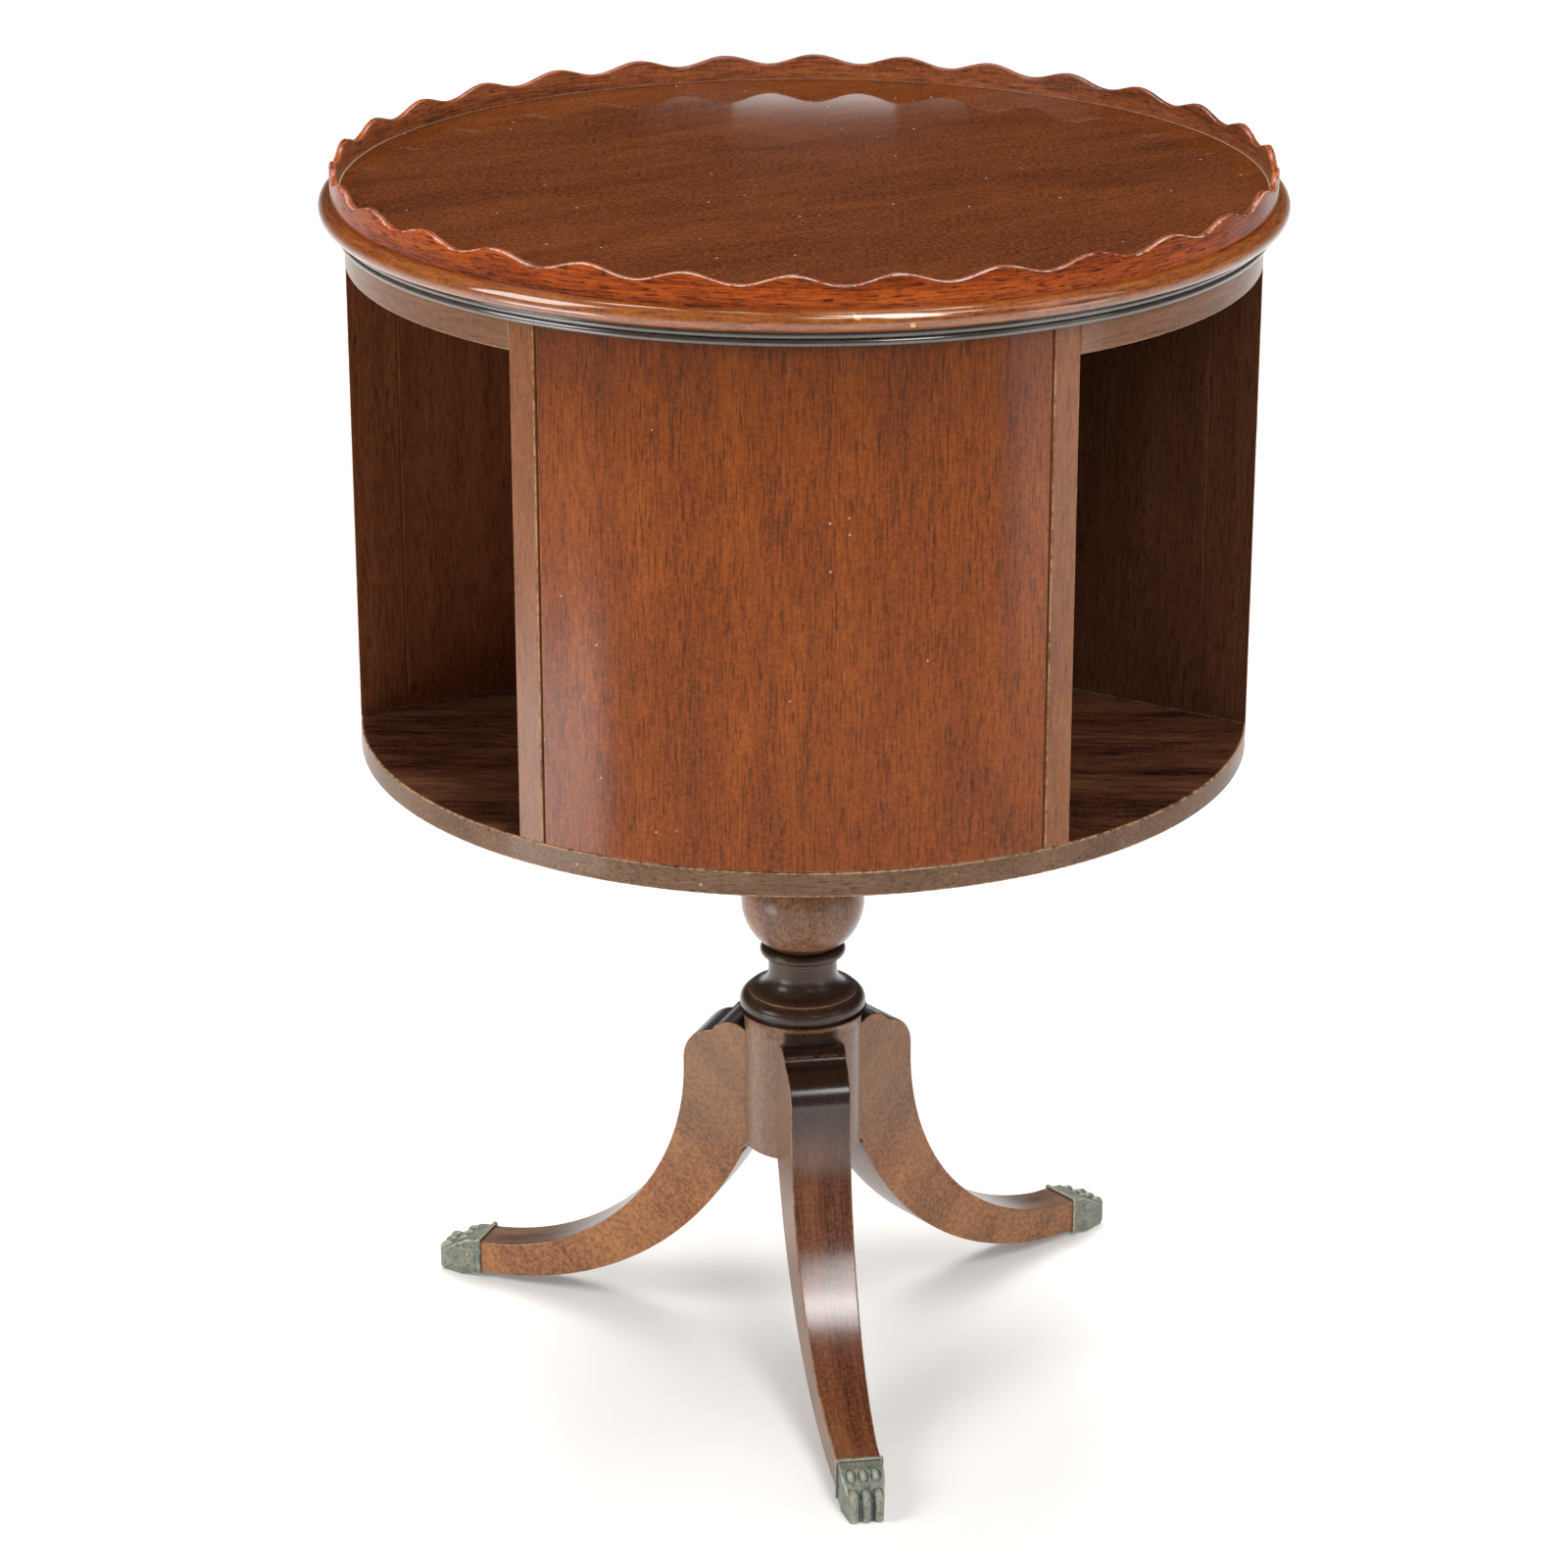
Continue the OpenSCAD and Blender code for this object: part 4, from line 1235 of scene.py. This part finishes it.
@dataclass
class Top:
    """The top board, its rim and beads, and the scalloped gallery, with its sizes in millimetres."""

    finishes: Finishes
    nose_x: float = 273.5
    nose_z: float = 733.0
    nose_r: float = 5.9
    rim_foot_z: float = 727.0
    glue_gap: float = 0.05
    inner_r: float = 268.0
    outer_r: float = 272.3
    foot_z: float = 734.0
    ledge_z: float = 739.0
    peak: float = 18.0
    scallop: float = 5.6
    count: int = 30
    round_r: float = 1.3
    steps: int = 360
    inward_limit: float = -0.3
    bent_h: float = 2.0
    joints: tuple[tuple[str, float], ...] = (("right", 30.0), ("rear", 150.0), ("left", 270.0))

    def build(self) -> None:
        """Builds and dresses the top."""
        dress_node("top_board", self.finishes["field_mahogany"])
        dress_node("bead_moulding", self.finishes["bead_black"])
        self.make_rim()
        for name, start in self.joints:
            self.make_gallery(name, start)

    def make_rim(self) -> None:
        """Turns the rim moulding with its rounded nose."""
        step_r = self.outer_r + self.glue_gap
        outline = [(self.inner_r, self.rim_foot_z)]
        outline += arc(self.nose_x, self.nose_z, self.nose_r, -90.0, 90.0, 20)
        outline += [(step_r, self.ledge_z), (step_r, self.foot_z), (self.inner_r, self.foot_z)]

        def worn(point: Vector) -> float:
            """Gives the nose's wear, which is greatest where hands reach it."""
            out = (Vector(point.xy).length / MM - self.nose_x) / self.nose_r
            return max(0.0, min(1.0, out * 1.2))

        piece = turned_ring(outline, "turned_rim", self.steps, worn)
        finish_piece(piece, "drum", self.finishes["rim_mahogany"], ["rim_moulding"])

    def scallop_rise(self, bearing: float) -> float:
        """Returns how far the gallery's edge lies above its middle height at a bearing."""
        return self.scallop / 2 * math.cos(math.radians(bearing * self.count))

    def arris_wear_and_highlight(self, radius: float, rise: float) -> float:
        """Gives the wear of the gallery's top edge, which also paints a highlight along its outer rounding.

        Args:
            radius: The point's distance from the axis, in millimetres.
            rise: The point's height above the start of the rounding, in millimetres.

        Returns:
            1 on the middle of the outer rounding, and less elsewhere.
        """
        wear_and_highlight_slope, reach = 50.0, 26.0
        out = radius - (self.outer_r - self.round_r)
        steep = math.degrees(math.atan2(rise, out))
        return max(0.0, 1.0 - abs(steep - wear_and_highlight_slope) / reach) if out > 0.0 else 0.0

    def make_gallery(self, name: str, start: float) -> None:
        """Bends one length of gallery and cuts its scallops.

        Args:
            name: right, rear or left.
            start: The bearing where it starts, in degrees.
        """
        inner, outer = self.inner_r + self.glue_gap, self.outer_r
        low = self.ledge_z + self.peak - self.scallop / 2 - self.round_r
        outline = [(inner, self.foot_z), (outer, self.foot_z)]
        outline += arc(outer - self.round_r, low, self.round_r, 0.0, 90.0, 4)
        outline += arc(inner + self.round_r, low, self.round_r, 90.0, 180.0, 4)
        tool = bmesh.new()
        verts = [tool.verts.new(from_bearing(start, r * MM, z * MM)) for r, z in outline]
        first = tool.faces.new(verts)
        bmesh.ops.spin(
            tool, geom=[first], cent=(0, 0, 0), axis=(0, 0, 1), dvec=(0, 0, 0), angle=math.tau / 3,
            steps=self.steps, use_merge=False, use_normal_flip=False, use_duplicate=False,
        )
        bmesh.ops.remove_doubles(tool, verts=tool.verts, dist=WELD)
        bmesh.ops.recalc_face_normals(tool, faces=tool.faces)
        # This wear layer paints the top edge's pale line: wear and a painted highlight
        layer = tool.verts.layers.float.new("wear")
        for vert in tool.verts:
            if vert.co.z > (low - self.bent_h) * MM:
                bearing = math.degrees(math.atan2(vert.co.x, -vert.co.y))
                vert[layer] = self.arris_wear_and_highlight(Vector(vert.co.xy).length / MM, vert.co.z / MM - low)
                vert.co.z += self.scallop_rise(bearing) * MM
        piece = as_object(tool, f"scalloped_gallery_{name}")
        smooth(piece, 40.0, weighted=False)
        finish_piece(piece, "drum", self.finishes["gallery_mahogany"], [f"gallery_{name}"])
        second_finish(piece, self.finishes["gallery_inside_mahogany"], self.looks_inwards)

    def looks_inwards(self, face: bpy.types.MeshPolygon) -> bool:
        """Tells whether a face of the gallery looks towards the axis."""
        out = Vector((face.center.x, face.center.y, 0.0)).normalized()
        return face.normal.dot(out) < self.inward_limit


@dataclass(frozen=True)
class Softbox:
    """One soft rectangular light, with its place, target and size in metres and its power in watts."""

    name: str
    place: tuple[float, float, float]
    target: tuple[float, float, float]
    size: tuple[float, float]
    power: float

    def hang(self) -> None:
        """Hangs the light in the scene."""
        lamp = bpy.data.lights.new(self.name, "AREA")
        lamp.shape = "RECTANGLE"
        lamp.size, lamp.size_y = self.size
        lamp.energy = self.power
        holder = bpy.data.objects.new(self.name, lamp)
        holder.location = self.place
        facing = Vector(self.target) - Vector(self.place)
        holder.rotation_euler = facing.to_track_quat("-Z", "Y").to_euler()
        holder.visible_camera = False
        bpy.context.scene.collection.objects.link(holder)


@dataclass
class Studio:
    """The floor, the lights and the camera of the photograph."""

    finishes: Finishes
    camera_at: tuple[float, float, float] = (0.0611, -2.601, 1.3738)
    down: float = 21.12
    heading: float = 1.6
    focal: float = 105.79
    sensor: float = 36.0
    floor_r: float = 14.0
    room_tones: tuple[tuple[float, float], ...] = (
        (0.0, 0.4), (0.05, 0.3), (0.15, 0.04), (0.4, 0.05), (1.0, 0.4),
    )
    front_tone: float = 0.18
    front_from: float = 0.1
    front_to: float = -0.3
    warmth: tuple[float, float, float] = (1.0, 0.985, 0.96)
    softboxes: tuple[Softbox, ...] = (
        Softbox("left_softbox", (-1.9, -0.9, 1.7), (0.0, 0.0, 0.3), (1.0, 1.4), 32.0),
        Softbox("right_softbox", (2.0, -0.9, 1.8), (0.0, 0.0, 0.4), (1.0, 1.4), 5.0),
        Softbox("front_softbox", (0.7, -1.4, 2.25), (0.03, -0.15, 0.1), (0.5, 1.9), 31.0),
        Softbox("front_lamp", (0.63, -1.37, 2.2), (0.03, -0.15, 0.1), (1.2, 0.35), 9.0),
        Softbox("overhead", (-0.2, 2.4, 5.0), (-0.2, 2.4, 0.0), (3.0, 3.0), 270.0),
        Softbox("back_wall", (-0.07, 3.0, 1.085), (-0.07, 0.0, 1.085), (0.4, 0.574), 0.36),
        Softbox("back_window", (-0.058, 2.99, 1.085), (-0.058, 0.0, 1.085), (0.2, 0.572), 0.7),
        Softbox("left_reflector", (-0.91, -0.6, 0.13), (-0.13, -0.23, 0.45), (0.5, 0.2), 2.1),
        Softbox("right_reflector", (1.45, -0.8, 0.2), (0.0, -0.1, 0.35), (0.7, 0.3), 1.6),
    )

    def build(self) -> None:
        """Sets up the whole studio."""
        self.place_camera()
        self.lay_floor()
        self.light_room()
        for softbox in self.softboxes:
            softbox.hang()

    def place_camera(self) -> None:
        """Puts the camera where the photograph was taken from."""
        camera = bpy.data.cameras.new("photo_camera")
        camera.lens = self.focal
        camera.sensor_width = self.sensor
        camera.clip_end = 60.0
        holder = bpy.data.objects.new("photo_camera", camera)
        holder.location = self.camera_at
        holder.rotation_euler = (math.radians(90.0 - self.down), 0.0, math.radians(self.heading))
        bpy.context.scene.collection.objects.link(holder)
        bpy.context.scene.camera = holder

    def lay_floor(self) -> None:
        """Lays the pale floor as one round sheet."""
        tool = bmesh.new()
        bmesh.ops.create_circle(tool, cap_ends=True, radius=self.floor_r, segments=96)
        floor = as_object(tool, "pale_floor")
        floor.data.materials.append(self.finishes["pale_floor"])
        floor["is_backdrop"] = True

    def light_room(self) -> None:
        """Lights the room softly from all round."""
        world = bpy.data.worlds.new("studio_room")
        world.use_nodes = True
        tree = world.node_tree
        place = tree.nodes.new("ShaderNodeTexCoord")
        split = tree.nodes.new("ShaderNodeSeparateXYZ")
        ramp = tree.nodes.new("ShaderNodeValToRGB")
        tree.links.new(place.outputs["Generated"], split.inputs[0])
        tree.links.new(split.outputs[2], ramp.inputs[0])
        front = tree.nodes.new("ShaderNodeMapRange")
        mix = tree.nodes.new("ShaderNodeMix")
        mix.data_type = "RGBA"
        front.inputs[1].default_value = self.front_from
        front.inputs[2].default_value = self.front_to
        mix.inputs[7].default_value = (self.front_tone, self.front_tone, self.front_tone, 1.0)
        tree.links.new(split.outputs[1], front.inputs[0])
        tree.links.new(front.outputs[0], mix.inputs["Factor"])
        tree.links.new(ramp.outputs[0], mix.inputs[6])
        tree.links.new(mix.outputs[2], tree.nodes["Background"].inputs["Color"])
        first, last = ramp.color_ramp.elements
        first.position, last.position = self.room_tones[0][0], self.room_tones[-1][0]
        first.color = last.color = (0.0, 0.0, 0.0, 1.0)
        for height, _ in self.room_tones[1:-1]:
            ramp.color_ramp.elements.new(height)
        for element, (_, tone) in zip(ramp.color_ramp.elements, self.room_tones):
            element.color = (*(tone * share for share in self.warmth), 1.0)
        bpy.context.scene.world = world


def write_sizes() -> None:
    """Works out the box of the solids and the box of the dressed table, and keeps neither."""
    boxes = {"cad": CAD_BOX, "visual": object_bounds()}
    {name: [list(corner) for corner in box] for name, box in boxes.items()}


def main() -> None:
    """Builds the studio, then the table from its feet to its gallery."""
    logging.basicConfig(level=logging.INFO, format="%(name)s: %(message)s")
    bpy.context.scene.view_settings.view_transform = "Standard"
    finishes = table_finishes()
    Studio(finishes).build()
    Pedestal(finishes).build()
    Drum(finishes).build()
    Top(finishes).build()
    write_sizes()


if __name__ == "__main__":
    main()
